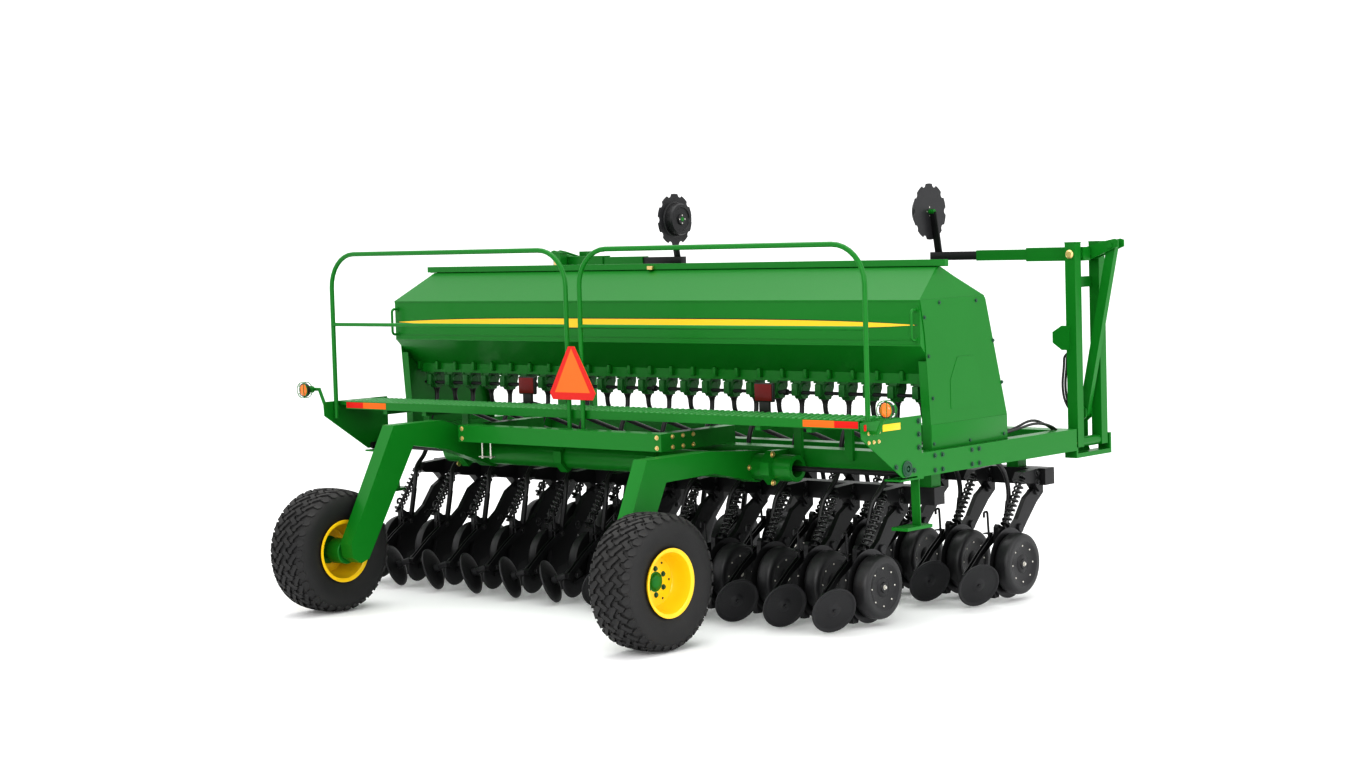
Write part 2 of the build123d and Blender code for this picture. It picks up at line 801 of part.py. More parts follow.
rank_routes = (
    # rows, disc y, waypoints (y, z)
    (rear_rows, rear_disc_y, ((meter_y, 1240), (150, 1130), (120, 900), (0, 800))),
    (front_rows, rear_disc_y + rank_gap, ((meter_y, 1240), (420, 1160), (1080, 930))),
)
with BuildPart() as seed_hoses:
    for rows, disc_y, waypoints in rank_routes:
        for x in rows:
            seed_hose(x, disc_y, waypoints)
save(seed_hoses, "seed_hoses")

# Rockshaft with both wheel arms
arm_rows = (
    # side, elbow y, elbow top z, end of the level part y
    (-1, -1120.0, 1225.0, -720.0),
    (1, -1240.0, 1100.0, -700.0),
)
leg_depth = 150.0
clamp_radius = shaft_radius + 16
with BuildPart() as wheel_arms:
    round_bar((shaft_left_x, shaft_y, shaft_z), (shaft_right_x, shaft_y, shaft_z), shaft_radius)
    for side, _ in sides:
        bore_start = side * (shaft_right_x - shaft_bore_depth)
        round_bar((bore_start, shaft_y, shaft_z), (side * (shaft_right_x + 1), shaft_y, shaft_z),
                  shaft_bore_radius, Mode.SUBTRACT)
    for side, elbow_y, elbow_z, level_y in arm_rows:
        x0 = arm_outer_x - arm_width if side > 0 else -arm_outer_x
        side_plate(
            (
                (wheel_y - 66, tyre_radius - 30),
                (wheel_y - 80, tyre_radius + 60),
                (elbow_y - 40, elbow_z),
                (level_y, elbow_z),
                (shaft_y, shaft_z + clamp_radius),
                (shaft_y, shaft_z - clamp_radius),
                (level_y + 40, elbow_z - 140 if side > 0 else elbow_z - 200),
                (elbow_y + 130, elbow_z - 150),
                (wheel_y + 70, tyre_radius - 50),
                (wheel_y, tyre_radius - 70),
            ),
            x0,
            arm_width,
        )
        round_bar((x0, shaft_y, shaft_z), (x0 + arm_width, shaft_y, shaft_z), clamp_radius)
        round_bar(
            (side * (arm_outer_x - arm_width), wheel_y, tyre_radius),
            (side * (wheel_x + 20), wheel_y, tyre_radius),
            axle_radius,
        )
save(wheel_arms, "wheel_arms")

# Drive shafts from the side plates into the rockshaft's open ends
with BuildPart() as drive_shafts:
    for side, _ in sides:
        inner = side * (shaft_right_x - shaft_bore_depth + 10)
        plate_x = side * (frame_half_width - plate_thickness)
        round_bar((inner, shaft_y, shaft_z), (plate_x, shaft_y, shaft_z), drive_radius)
        round_bar((plate_x - side * 26, shaft_y, shaft_z), (plate_x, shaft_y, shaft_z), drive_flange_radius)
save(drive_shafts, "drive_shafts")

# Rockshaft bearings on the rear cross tube
bearing_gap = 0.3
with BuildPart() as shaft_bearings:
    for x in (-1380, -420, 420, 1380):
        with BuildSketch(Plane.YZ.offset(x - 35)) as outline:
            Polygon(
                (frame_rear_y, beam_top - 10),
                (shaft_y - 40, shaft_z + shaft_radius + 24),
                (shaft_y - shaft_radius - 24, shaft_z + 40),
                (shaft_y - shaft_radius - 24, shaft_z - 40),
                (shaft_y - 40, shaft_z - shaft_radius - 24),
                (frame_rear_y, beam_bottom),
                align=None,
            )
            with Locations((shaft_y, shaft_z)):
                Circle(shaft_radius + bearing_gap, mode=Mode.SUBTRACT)
        extrude(outline.sketch, amount=70, dir=(1, 0, 0))
save(shaft_bearings, "shaft_bearings")

# Transport wheels: tyre, rim and hub
wheel_gap = 0.3
wheel_facets = 32
hub_seat_radius = 60.0
half_tyre = tyre_width / 2
for side, name in sides:
    centre = (side * wheel_x, wheel_y, tyre_radius)
    out = (side, 0, 0)
    hub_inner = arm_outer_x - wheel_x + 22
    with BuildPart() as tyre:
        faceted(
            (
                (-half_tyre + 30, rim_radius),
                (half_tyre - 30, rim_radius),
                (half_tyre - 14, flange_radius + 14),
                (half_tyre, tyre_radius - 110),
                (half_tyre - 12, tyre_radius - 34),
                (half_tyre - 44, tyre_radius - 6),
                (0, tyre_radius),
                (-half_tyre + 44, tyre_radius - 6),
                (-half_tyre + 12, tyre_radius - 34),
                (-half_tyre, tyre_radius - 110),
                (-half_tyre + 14, flange_radius + 14),
            ),
            centre,
            out,
            wheel_facets,
        )
    save(tyre, "tyre_" + name)
    with BuildPart() as rim:
        faceted(
            (
                (-half_tyre + 26, rim_radius),
                (-half_tyre + 16, flange_radius),
                (-half_tyre + 10, flange_radius),
                (-half_tyre + 18, rim_radius - 8),
                (-20, rim_radius - 40),
                (16, rim_radius - 44),
                (22, 130),
                (22, hub_seat_radius),
                (30, hub_seat_radius),
                (30, 134),
                (26, rim_radius - 36),
                (half_tyre - 18, rim_radius - 8),
                (half_tyre - 10, flange_radius),
                (half_tyre - 16, flange_radius),
                (half_tyre - 26, rim_radius),
            ),
            centre,
            out,
            wheel_facets,
        )
    save(rim, "rim_" + name)
    with BuildPart() as hub:
        faceted(
            (
                (hub_inner, 20),
                (hub_inner, 84),
                (-60, 84),
                (-60, 58),
                (6, 62),
                (10, 92),
                (22, 92),
                (22, hub_seat_radius),
                (30, hub_seat_radius),
                (32, 50),
                (70, 44),
                (76, 24),
                (70, 20),
            ),
            centre,
            out,
            wheel_facets,
        )
        hub_face = (centre[0] + side * hub_inner, wheel_y, tyre_radius)
        bore_end = (centre[0] + side * 22, wheel_y, tyre_radius)
        cap_end = (centre[0] + side * 70, wheel_y, tyre_radius)
        round_bar(bore_end, cap_end, 22)
        round_bar(hub_face, bore_end, axle_radius + wheel_gap, Mode.SUBTRACT)
    save(hub, "hub_" + name)

# Hinge pins of the row markers, each in a bracket at the front of a side beam, with the ears of the
# link that turns the outer arm
post_half = mast_post / 2
hinge_radius = 22.0
marker_pin_radius = 20.0
link_pin_radius = 14.0
pin_gap = 0.3
bracket_front_y = mast_front_y + post_half + 12
bracket_floor_z = beam_bottom - 50
ear_offset = link_width / 2 + link_gap + ear_thickness / 2
with BuildPart() as marker_hinges:
    for side, _ in sides:
        x_mid = side * mast_x
        bracket_x0, bracket_x1 = x_mid - 45, x_mid + 45
        bracket_y1 = bracket_front_y + 20
        pin_y1 = bracket_front_y + 1
        round_bar((x_mid, frame_front_y, mast_pivot_z), (x_mid, pin_y1, mast_pivot_z), hinge_radius)
        beam_x(frame_front_y, bracket_y1, bracket_floor_z, bracket_floor_z + 30, bracket_x0, bracket_x1)
        beam_x(bracket_front_y, bracket_y1, bracket_floor_z, mast_pivot_z + 40, bracket_x0, bracket_x1)
        beam_x(frame_front_y, frame_front_y + 20, bracket_floor_z, beam_bottom + 20, bracket_x0, bracket_x1)
        for ear in (-1, 1):
            ear_plane = Plane.XZ.offset(-(link_y + ear * ear_offset + ear_thickness / 2))
            with BuildSketch(ear_plane) as outline:
                Polygon(
                    (side * (link_foot[0] + 32), link_foot[1] - 30),
                    (side * (link_foot[0] + 32), link_foot[1] + 24),
                    (side * (link_foot[0] + 12), link_foot[1] + 42),
                    (side * (link_foot[0] - 24), link_foot[1] + 42),
                    (side * (link_foot[0] - 60), bracket_floor_z + 60),
                    (side * (link_foot[0] - 60), bracket_floor_z),
                    (side * (link_foot[0] + 20), bracket_floor_z),
                    (side * (link_foot[0] - 4), bracket_floor_z + 60),
                    (side * (link_foot[0] - 4), link_foot[1] - 60),
                    align=None,
                )
            extrude(outline.sketch, amount=ear_thickness, dir=(0, -1, 0))
        pin_x = side * link_foot[0]
        round_bar((pin_x, link_y - ear_offset, link_foot[1]), (pin_x, link_y + ear_offset, link_foot[1]),
                  link_pin_radius)
save(marker_hinges, "marker_hinges")

# Row markers, folded for transport: mast, link, outer arm and notched disc
mast_inner_y0 = mast_rear_y + mast_post
mast_inner_y1 = mast_front_y - post_half
link_head = (mast_x + link_ear[0], marker_pivot_z + link_ear[1])
link_depth = 64.0
notch_count = 10
notch_radius = 26.0
for side, name in sides:
    x_mid = side * mast_x
    with BuildPart() as mast:
        for y in (mast_rear_y + post_half, mast_front_y):
            square_bar((x_mid, y, mast_pivot_z - 30), (x_mid, y, mast_top_z), mast_post, mast_post)
            square_bar((x_mid, y, mast_top_z), (x_mid, y, mast_top_z + 8), mast_post + 12, mast_post - 12)
        round_bar((x_mid, mast_inner_y0, mast_pivot_z), (x_mid, mast_inner_y1, mast_pivot_z), 34)
        inner_face = x_mid - side * post_half
        lo, hi = sorted((inner_face, inner_face + side * 14))
        beam_x(mast_inner_y0, mast_inner_y1, 2015, 2085, lo, hi)
        stop_x = side * (mast_x - post_half)
        with BuildSketch(Plane.XZ.offset(-mast_rear_y)) as outline:
            Polygon(
                (stop_x + side * 30, 1765),
                (stop_x - side * 30, 1765),
                (stop_x - side * 100, 1722),
                (stop_x - side * 100, 1652),
                (stop_x - side * 30, 1604),
                (stop_x + side * 30, 1604),
                align=None,
            )
        extrude(outline.sketch, amount=12, dir=(0, -1, 0))
        bore_centre = (x_mid, (mast_inner_y0 + mast_inner_y1) / 2, mast_pivot_z)
        bore_length = mast_inner_y1 - mast_inner_y0 + 4 * mast_post
        with Locations(Plane(origin=bore_centre, z_dir=(0, 1, 0))):
            Cylinder(hinge_radius + pin_gap, bore_length, mode=Mode.SUBTRACT)
        top_pin_start = (x_mid, mast_inner_y0, marker_pivot_z)
        round_bar(top_pin_start, (x_mid, mast_inner_y1, marker_pivot_z), marker_pin_radius)
    save(mast, "marker_mast_" + name)
    with BuildPart() as link:
        foot = (side * link_foot[0], link_y, link_foot[1])
        head = (side * link_head[0], link_y, link_head[1])
        square_bar(foot, head, link_width, link_depth)
        eye_y0, eye_y1 = link_y - link_width / 2, link_y + link_width / 2
        round_bar((foot[0], eye_y0, foot[2]), (foot[0], eye_y1, foot[2]), 32)
        with Locations(Plane(origin=foot, z_dir=(0, 1, 0))):
            Cylinder(link_pin_radius + pin_gap, 2 * link_width, mode=Mode.SUBTRACT)
    save(link, "marker_link_" + name)
    with BuildPart() as arm:
        y = marker_arm_y
        square_bar((side * (mast_x + 45), y, marker_pivot_z), (side * 1950, y, marker_pivot_z), 90, 90)
        square_bar((side * 1950, y, marker_pivot_z), (side * 1540, y, marker_pivot_z), 70, 70)
        square_bar((side * 1540, y, marker_pivot_z), (side * 1150, y, marker_pivot_z), 54, 54)
        round_bar((x_mid, y - 52, marker_pivot_z), (x_mid, mast_inner_y1 - 7, marker_pivot_z), 40)
        for ear in (-1, 1):
            ear_y = link_y + ear * ear_offset
            with BuildSketch(Plane.XZ.offset(-(ear_y + ear_thickness / 2))) as outline:
                Polygon(
                    (x_mid - side * 30, marker_pivot_z - 34),
                    (x_mid + side * 34, marker_pivot_z - 40),
                    (side * (link_head[0] + 62), link_head[1] - 10),
                    (side * (link_head[0] + 62), link_head[1] + 34),
                    (side * (link_head[0] + 36), link_head[1] + 42),
                    (side * (link_head[0] - 30), link_head[1] + 30),
                    (x_mid - side * 30, marker_pivot_z + 34),
                    align=None,
                )
            extrude(outline.sketch, amount=ear_thickness, dir=(0, -1, 0))
            bolt_y = ear_y + ear * ear_thickness / 2
            bolt_x = side * link_head[0]
            round_bar((bolt_x, bolt_y, link_head[1]), (bolt_x, bolt_y + ear * 8, link_head[1]), 20)
        with Locations(Plane(origin=(x_mid, y, marker_pivot_z), z_dir=(0, 1, 0))):
            Cylinder(marker_pin_radius + pin_gap, 500, mode=Mode.SUBTRACT)
        square_bar(
            (side * (marker_disc_x + 50), y, marker_pivot_z),
            (side * (marker_disc_x + 50), y - 60, marker_disc_z),
            50,
            14,
        )
        round_bar(
            (side * (marker_disc_x + 60), y - 60, marker_disc_z),
            (side * (marker_disc_x - 60), y - 60, marker_disc_z),
            16,
        )
    save(arm, "marker_arm_" + name)
    with BuildPart() as marker_disc:
        disc_centre = (side * (marker_disc_x + 20), marker_arm_y - 60, marker_disc_z)
        turned(
            (
                (0, 16 + pin_gap),
                (78, 16 + pin_gap),
                (78, 40),
                (66, 44),
                (66, 84),
                (74, 90),
                (72, 112),
                (58, 120),
                (12, 126),
                (6, 136),
                (6, marker_disc_radius - 4),
                (2, marker_disc_radius),
                (0, marker_disc_radius),
            ),
            disc_centre,
            (-side, 0, 0),
        )
        with BuildSketch(Plane(origin=disc_centre, x_dir=(0, 1, 0), z_dir=(-side, 0, 0))) as outline:
            with PolarLocations(marker_disc_radius + 6, notch_count):
                Circle(notch_radius)
        extrude(outline.sketch, amount=20, both=True, mode=Mode.SUBTRACT)
    save(marker_disc, "marker_disc_" + name)

# Tongue: a tapered main beam with two struts, and its hitch clevis
beam_front_y = hitch_y - hitch_length
strut_foot_x = 900.0
strut_y = 2760.0
with BuildPart() as tongue:
    strut_z = beam_top - beam_height / 2
    for side, _ in sides:
        strut_foot = (side * (strut_foot_x + 90), frame_front_y - 100, strut_z + 24)
        square_bar(strut_foot, (0, strut_y, 757), 80, 80)
    with Locations((0, frame_front_y - 200, strut_z)):
        Box(2 * frame_half_width, 400, 400, mode=Mode.SUBTRACT)
    side_plate(
        (
            (frame_front_y, beam_top),
            (beam_front_y, hitch_z + 60),
            (beam_front_y, hitch_z - 60),
            (frame_front_y, beam_bottom),
        ),
        -tongue_size / 2,
        tongue_size,
    )
save(tongue, "tongue")
with BuildPart() as hitch:
    ear_y = (beam_front_y + hitch_y + hitch_ear_reach) / 2
    for z in (hitch_z - 33, hitch_z + 33):
        with Locations((0, ear_y, z)):
            Box(110, hitch_length + hitch_ear_reach, 24)
    with Locations((0, beam_front_y + 30, hitch_z)):
        Box(110, 60, 90)
    with Locations((0, hitch_y, hitch_z)):
        Cylinder(hitch_pin_radius, 140, mode=Mode.SUBTRACT)
save(hitch, "hitch")

# Parking jack beside the tongue
jack_x = -140.0
with BuildPart() as jack:
    round_bar((jack_x, jack_y, 120), (jack_x, jack_y, 960), 38)
    round_bar((jack_x, jack_y, 20), (jack_x, jack_y, 121), 30)
    with Locations((jack_x, jack_y, 10)):
        Box(180, 180, 20)
    beam_x(jack_y - 40, jack_y + 40, 560, 700, jack_x + 30, -tongue_size / 2)
save(jack, "jack")

# Lamps, sign, steps and grab handles
lamp_x = frame_half_width + 192.0
lamp_y = -684.0
lamp_z = 1396.0
with BuildPart() as lamps:
    for side, _ in sides:
        round_bar((side * lamp_x, lamp_y - 30, lamp_z), (side * lamp_x, lamp_y + 26, lamp_z), 58)
save(lamps, "amber_lamps")
with BuildPart() as lamp_arms:
    for side, _ in sides:
        mitred_tube(
            (
                (side * frame_half_width, -600, 1250),
                (side * (frame_half_width + 60), -600, 1250),
                (side * (lamp_x - 60), -600, lamp_z),
                (side * lamp_x, -600, lamp_z),
            ),
            12,
            8,
        )
        round_bar((side * lamp_x, -612, lamp_z), (side * lamp_x, lamp_y + 26.3, lamp_z), 24)
save(lamp_arms, "lamp_arms")
sign_y = rail_y - rail_tube_radius - 8
with BuildPart() as sign:
    with BuildSketch(Plane.XZ.offset(-sign_y)):
        Polygon((-178, 1385), (178, 1385), (205, 1430), (28, 1735), (-28, 1735), (-205, 1430), align=None)
    extrude(amount=4)
    for x in (-rail_inner_x, rail_inner_x):
        with Locations((x, sign_y + 3.5, 1560)):
            Box(30, 8, 60)
save(sign, "rear_sign")
with BuildPart() as tail_lamps:
    for x in (-760, 1330):
        lamp_z0, lamp_z1 = walkboard_top + 66, walkboard_top + 186
        beam_x(walkboard_front_y - 45, walkboard_front_y - 5, lamp_z0, lamp_z1, x - 75, x + 75)
        beam_x(walkboard_front_y - 35, walkboard_front_y - 15, walkboard_top, lamp_z0, x - 40, x + 40)
save(tail_lamps, "tail_lamps")
with BuildPart() as grab_handles:
    for side, _ in sides:
        x = side * (box_half_length - 25)
        upper_root = (x, 0, 1950)
        upper_corner = (x, -55, 1950)
        lower_corner = (x, -55, 1765)
        lower_root = (x, 0, 1765)
        mitred_tube(
            (
                upper_root,
                *rounded_corner(upper_corner, upper_root, lower_corner, 24),
                *rounded_corner(lower_corner, upper_corner, lower_root, 24),
                lower_root,
            ),
            9,
            8,
        )
save(grab_handles, "grab_handles")
with BuildPart() as steps:
    for side, _ in sides:
        x = side * (frame_half_width - 60)
        beam_x(-300, -60, beam_bottom - 12, beam_bottom, x - 60, x + 60)
        square_bar((x, -70, beam_bottom - 8), (x, -60, 640), 60, 10)
        beam_x(-240, 20, 620, 640, x - 60, x + 60)
save(steps, "steps")
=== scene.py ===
# %% [markdown]
# A seed drill sows grain in rows: a long box on top, a meter and an opener under it for each row.
# The frame of CAD pieces is loaded first and stays where it is. Everything else is made around it,
# so each place in this lesson is read from the frame instead of being typed again.

# %% Load the frame
import json
from math import atan2, cos, pi, radians, sin, tan

import bpy
from mathutils import Matrix, Quaternion, Vector


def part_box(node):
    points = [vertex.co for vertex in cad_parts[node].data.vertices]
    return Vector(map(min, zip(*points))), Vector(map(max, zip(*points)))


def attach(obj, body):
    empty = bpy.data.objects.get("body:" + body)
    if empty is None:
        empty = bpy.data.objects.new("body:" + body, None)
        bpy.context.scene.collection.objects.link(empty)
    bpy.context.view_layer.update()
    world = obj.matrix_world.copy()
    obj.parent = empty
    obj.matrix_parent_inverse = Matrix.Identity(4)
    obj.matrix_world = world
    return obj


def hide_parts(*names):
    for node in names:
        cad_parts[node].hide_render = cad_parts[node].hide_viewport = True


slide = Matrix.Translation
scene = bpy.context.scene
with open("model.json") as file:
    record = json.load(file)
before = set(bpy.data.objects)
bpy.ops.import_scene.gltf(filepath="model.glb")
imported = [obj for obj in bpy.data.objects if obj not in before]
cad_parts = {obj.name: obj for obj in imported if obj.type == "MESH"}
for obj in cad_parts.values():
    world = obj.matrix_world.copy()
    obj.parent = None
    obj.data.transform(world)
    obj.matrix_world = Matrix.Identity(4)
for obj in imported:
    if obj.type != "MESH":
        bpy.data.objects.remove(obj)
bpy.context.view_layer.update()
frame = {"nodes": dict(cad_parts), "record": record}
nodes = frame["nodes"]

# %% [markdown]
# A few places come up again and again: the rear wall of the seed box and the rows of openers. They are
# worked out once here, from the boxes of the nodes.

# %% Places on the drill
row_count = 24
row_pitch = 0.1905
rank_gap = 1.27
wall_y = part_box("seed_box")[0].y
discs_low, discs_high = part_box("opener_discs")
disc_radius = (discs_high.z - discs_low.z) / 2
disc_z = (discs_high.z + discs_low.z) / 2
rear_disc_y = (discs_low.y + discs_high.y) / 2 - rank_gap / 2
openers = [((i - (row_count - 1) / 2) * row_pitch, rear_disc_y + i % 2 * rank_gap) for i in range(row_count)]
print("rear wall", wall_y, "disc radius", disc_radius, "outer row", openers[-1])

# %% [markdown]
# The camera stands behind the drill and to its right, a little above the seed box, with a long lens.
# Its place and its turn were found by fitting the drill's straight edges to the photograph.

# %% Camera
camera_place = Vector((10.92, -12.038, 2.501)) + Vector((0, wall_y, 0))
yaw, pitch, roll = radians(40.72), radians(3.49), radians(-1.65)
photo_width, photo_height = 1365, 768
focal_pixels = 2420
principal = (697.5, 372.8)

ahead = Vector((-sin(yaw) * cos(pitch), cos(yaw) * cos(pitch), -sin(pitch)))
level = Vector((cos(yaw), sin(yaw), 0))
upward = level.cross(ahead)
right = level * cos(roll) + upward * sin(roll)
up = upward * cos(roll) - level * sin(roll)
optics = bpy.data.cameras.new("camera")
optics.sensor_width = 36
optics.lens = focal_pixels / photo_width * optics.sensor_width
optics.shift_x = (photo_width / 2 - principal[0]) / photo_width
optics.shift_y = (principal[1] - photo_height / 2) / photo_width
camera = bpy.data.objects.new("camera", optics)
camera.matrix_world = slide(camera_place) @ Matrix((right, up, -ahead)).transposed().to_4x4()
scene.collection.objects.link(camera)
bpy.context.scene.camera = camera
optics.clip_end = 200
print("lens", round(optics.lens, 1), "mm")

# %% [markdown]
# The drill stands on a plain pale floor in an even studio. A pale world fills the shadows. One large
# soft light hangs over the drill, and two more light its rear and its right side. The floor glows
# faintly, so that it meets the world without a line. The high contrast look keeps the colours deep.

# %% Floor and light
floor_size = 500
floor_tone = 0.92
floor_glow = 0.07
world_strength = 0.88


def deselect():
    bpy.ops.object.select_all(action="DESELECT")


def soft_light(name, place, target, size, power):
    data = bpy.data.lights.new(name, "AREA")
    data.shape = "RECTANGLE"
    data.size, data.size_y = size
    data.energy = power
    light = bpy.data.objects.new(name, data)
    light.location = place
    light.rotation_mode = "QUATERNION"
    light.rotation_quaternion = (Vector(target) - Vector(place)).to_track_quat("-Z", "Y")
    scene.collection.objects.link(light)


deselect()
bpy.ops.mesh.primitive_plane_add(size=floor_size)
floor = bpy.context.object
floor.name = "floor"
floor_finish = bpy.data.materials.new("floor")
floor_finish.use_nodes = True
floor_inputs = floor_finish.node_tree.nodes["Principled BSDF"].inputs
floor_inputs["Base Color"].default_value = (floor_tone, floor_tone, floor_tone, 1)
floor_inputs["Roughness"].default_value = 0.7
floor_inputs["Emission Color"].default_value = (1, 1, 1, 1)
floor_inputs["Emission Strength"].default_value = floor_glow
floor.data.materials.append(floor_finish)

world = bpy.data.worlds.new("studio")
world.use_nodes = True
background = world.node_tree.nodes["Background"].inputs
background["Color"].default_value = (1, 1, 1, 1)
background["Strength"].default_value = world_strength
scene.world = world
scene.view_settings.view_transform = "Standard"
scene.view_settings.look = "High Contrast"
soft_light("overhead", (0, -1, 9), (0, 0, 0.5), (9, 7), 260)
soft_light("camera_side", (7, -9.5, 5), (0, 0, 0.8), (6, 5), 250)
soft_light("right_side", (10, 1, 4.5), (0, 0, 1), (5, 4), 110)
print("lights", len(bpy.data.lights))

# %% [markdown]
# Paint on a farm machine isn't one flat colour. Three effects come back in every finish, so each is a
# node group with named inputs: slow drifts of tone, a little dust that lies on what faces up, and
# paler edges, partly where paint or rubber is rubbed and partly a painted highlight along sharp edges.

# %% Shader groups
def new_group(name, inputs, outputs):
    tree = bpy.data.node_groups.new(name, "ShaderNodeTree")
    for label, kind, value in inputs:
        socket = tree.interface.new_socket(label, in_out="INPUT", socket_type=kind)
        socket.default_value = value
    for label, kind in outputs:
        tree.interface.new_socket(label, in_out="OUTPUT", socket_type=kind)
    return tree, tree.nodes.new("NodeGroupInput"), tree.nodes.new("NodeGroupOutput")


def noise_of(tree, coordinates, scale, detail):
    node = tree.nodes.new("ShaderNodeTexNoise")
    node.inputs["Scale"].default_value = scale
    node.inputs["Detail"].default_value = detail
    tree.links.new(coordinates, node.inputs["Vector"])
    return node.outputs["Fac"]


def math_node(tree, operation, first, second):
    node = tree.nodes.new("ShaderNodeMath")
    node.operation = operation
    for socket, value in zip(node.inputs, (first, second)):
        if isinstance(value, (int, float)):
            socket.default_value = value
        else:
            tree.links.new(value, socket)
    return node.outputs[0]


def product(tree, first, second):
    return math_node(tree, "MULTIPLY", first, second)


def mix_colour(tree, factor, first, second):
    node = tree.nodes.new("ShaderNodeMix")
    node.data_type = "RGBA"
    for index, socket in ((0, factor), (6, first), (7, second)):
        tree.links.new(socket, node.inputs[index])
    return node.outputs[2]


def swing_of(tree, value, amount):
    """How far a value from 0 to 1 swings about its middle, times the amount."""
    return product(tree, math_node(tree, "SUBTRACT", value, 0.5), amount)


colour, number = "NodeSocketColor", "NodeSocketFloat"
grey = (0.5, 0.5, 0.5, 1)
drift_scale, grain_scale, patch_scale = 1.7, 140.0, 6.0
dust_on_top, dust_anywhere = 0.7, 0.3
edge_start, edge_gain = 0.515, 9.0

drift, drift_in, drift_out = new_group(
    "tone_drift",
    (("Colour", colour, grey), ("Amount", number, 0.1), ("Roughness", number, 0.4), ("Grain", number, 0.1)),
    (("Colour", colour), ("Roughness", number), ("Height", number)),
)
drift_place = drift.nodes.new("ShaderNodeTexCoord").outputs["Object"]
slow = noise_of(drift, drift_place, drift_scale, 4.0)
fine = noise_of(drift, drift_place, grain_scale, 2.0)
tone_swing = swing_of(drift, slow, drift_in.outputs["Amount"])
shade = drift.nodes.new("ShaderNodeHueSaturation")
drift.links.new(math_node(drift, "ADD", tone_swing, 1.0), shade.inputs["Value"])
drift.links.new(drift_in.outputs["Colour"], shade.inputs["Color"])
drift.links.new(shade.outputs["Color"], drift_out.inputs["Colour"])
rough_swing = swing_of(drift, fine, drift_in.outputs["Grain"])
rough = math_node(drift, "ADD", drift_in.outputs["Roughness"], rough_swing)
drift.links.new(rough, drift_out.inputs["Roughness"])
drift.links.new(fine, drift_out.inputs["Height"])

dust, dust_in, dust_out = new_group(
    "settled_dust",
    (("Colour", colour, grey), ("Dust", colour, (0.42, 0.40, 0.36, 1)), ("Amount", number, 0.2)),
    (("Colour", colour), ("Mask", number)),
)
dust_place = dust.nodes.new("ShaderNodeTexCoord").outputs["Object"]
facing = dust.nodes.new("ShaderNodeSeparateXYZ")
dust.links.new(dust.nodes.new("ShaderNodeNewGeometry").outputs["Normal"], facing.inputs[0])
upper = math_node(dust, "MAXIMUM", facing.outputs["Z"], 0)
patches = noise_of(dust, dust_place, patch_scale, 6.0)
share = math_node(dust, "ADD", product(dust, upper, dust_on_top), dust_anywhere)
lying = product(dust, share, patches)
dust_mask = product(dust, lying, dust_in.outputs["Amount"])
dusty = mix_colour(dust, dust_mask, dust_in.outputs["Colour"], dust_in.outputs["Dust"])
dust.links.new(dusty, dust_out.inputs["Colour"])
dust.links.new(dust_mask, dust_out.inputs["Mask"])

# Paler edges found by pointiness: partly rubbed wear, partly a painted highlight along sharp edges.
rub_and_highlight, rub_and_highlight_in, rub_and_highlight_out = new_group(
    "rubbed_and_highlit_edges",
    (("Colour", colour, grey), ("Edge", colour, (0.7, 0.7, 0.7, 1)), ("Amount", number, 0.5)),
    (("Colour", colour), ("Mask", number)),
)
pointed = rub_and_highlight.nodes.new("ShaderNodeNewGeometry").outputs["Pointiness"]
over = math_node(rub_and_highlight, "MAXIMUM", math_node(rub_and_highlight, "SUBTRACT", pointed, edge_start), 0)
sharp = product(rub_and_highlight, over, edge_gain)
wear_and_highlight_mask = product(rub_and_highlight, math_node(rub_and_highlight, "MINIMUM", sharp, 1.0), rub_and_highlight_in.outputs["Amount"])
rubbed_and_highlit = mix_colour(rub_and_highlight, wear_and_highlight_mask, rub_and_highlight_in.outputs["Colour"], rub_and_highlight_in.outputs["Edge"])
rub_and_highlight.links.new(rubbed_and_highlit, rub_and_highlight_out.inputs["Colour"])
rub_and_highlight.links.new(wear_and_highlight_mask, rub_and_highlight_out.inputs["Mask"])
print("groups", [g.name for g in bpy.data.node_groups])

# %% [markdown]
# Every finish is the same short chain with its own values: tone, dust, edges, then the shader. Gloss
# paint gets a clear coat, castings a coarser grain, and the tyres paler edges.

# %% Finishes
finishes = {}
dust_dulling, relief_strength, coat_roughness = 0.5, 0.4, 0.1


def group_node(tree, group, **values):
    """One of the shared effects, with this finish's own values."""
    node = tree.nodes.new("ShaderNodeGroup")
    node.node_tree = group
    for label, value in values.items():
        node.inputs[label].default_value = value
    return node


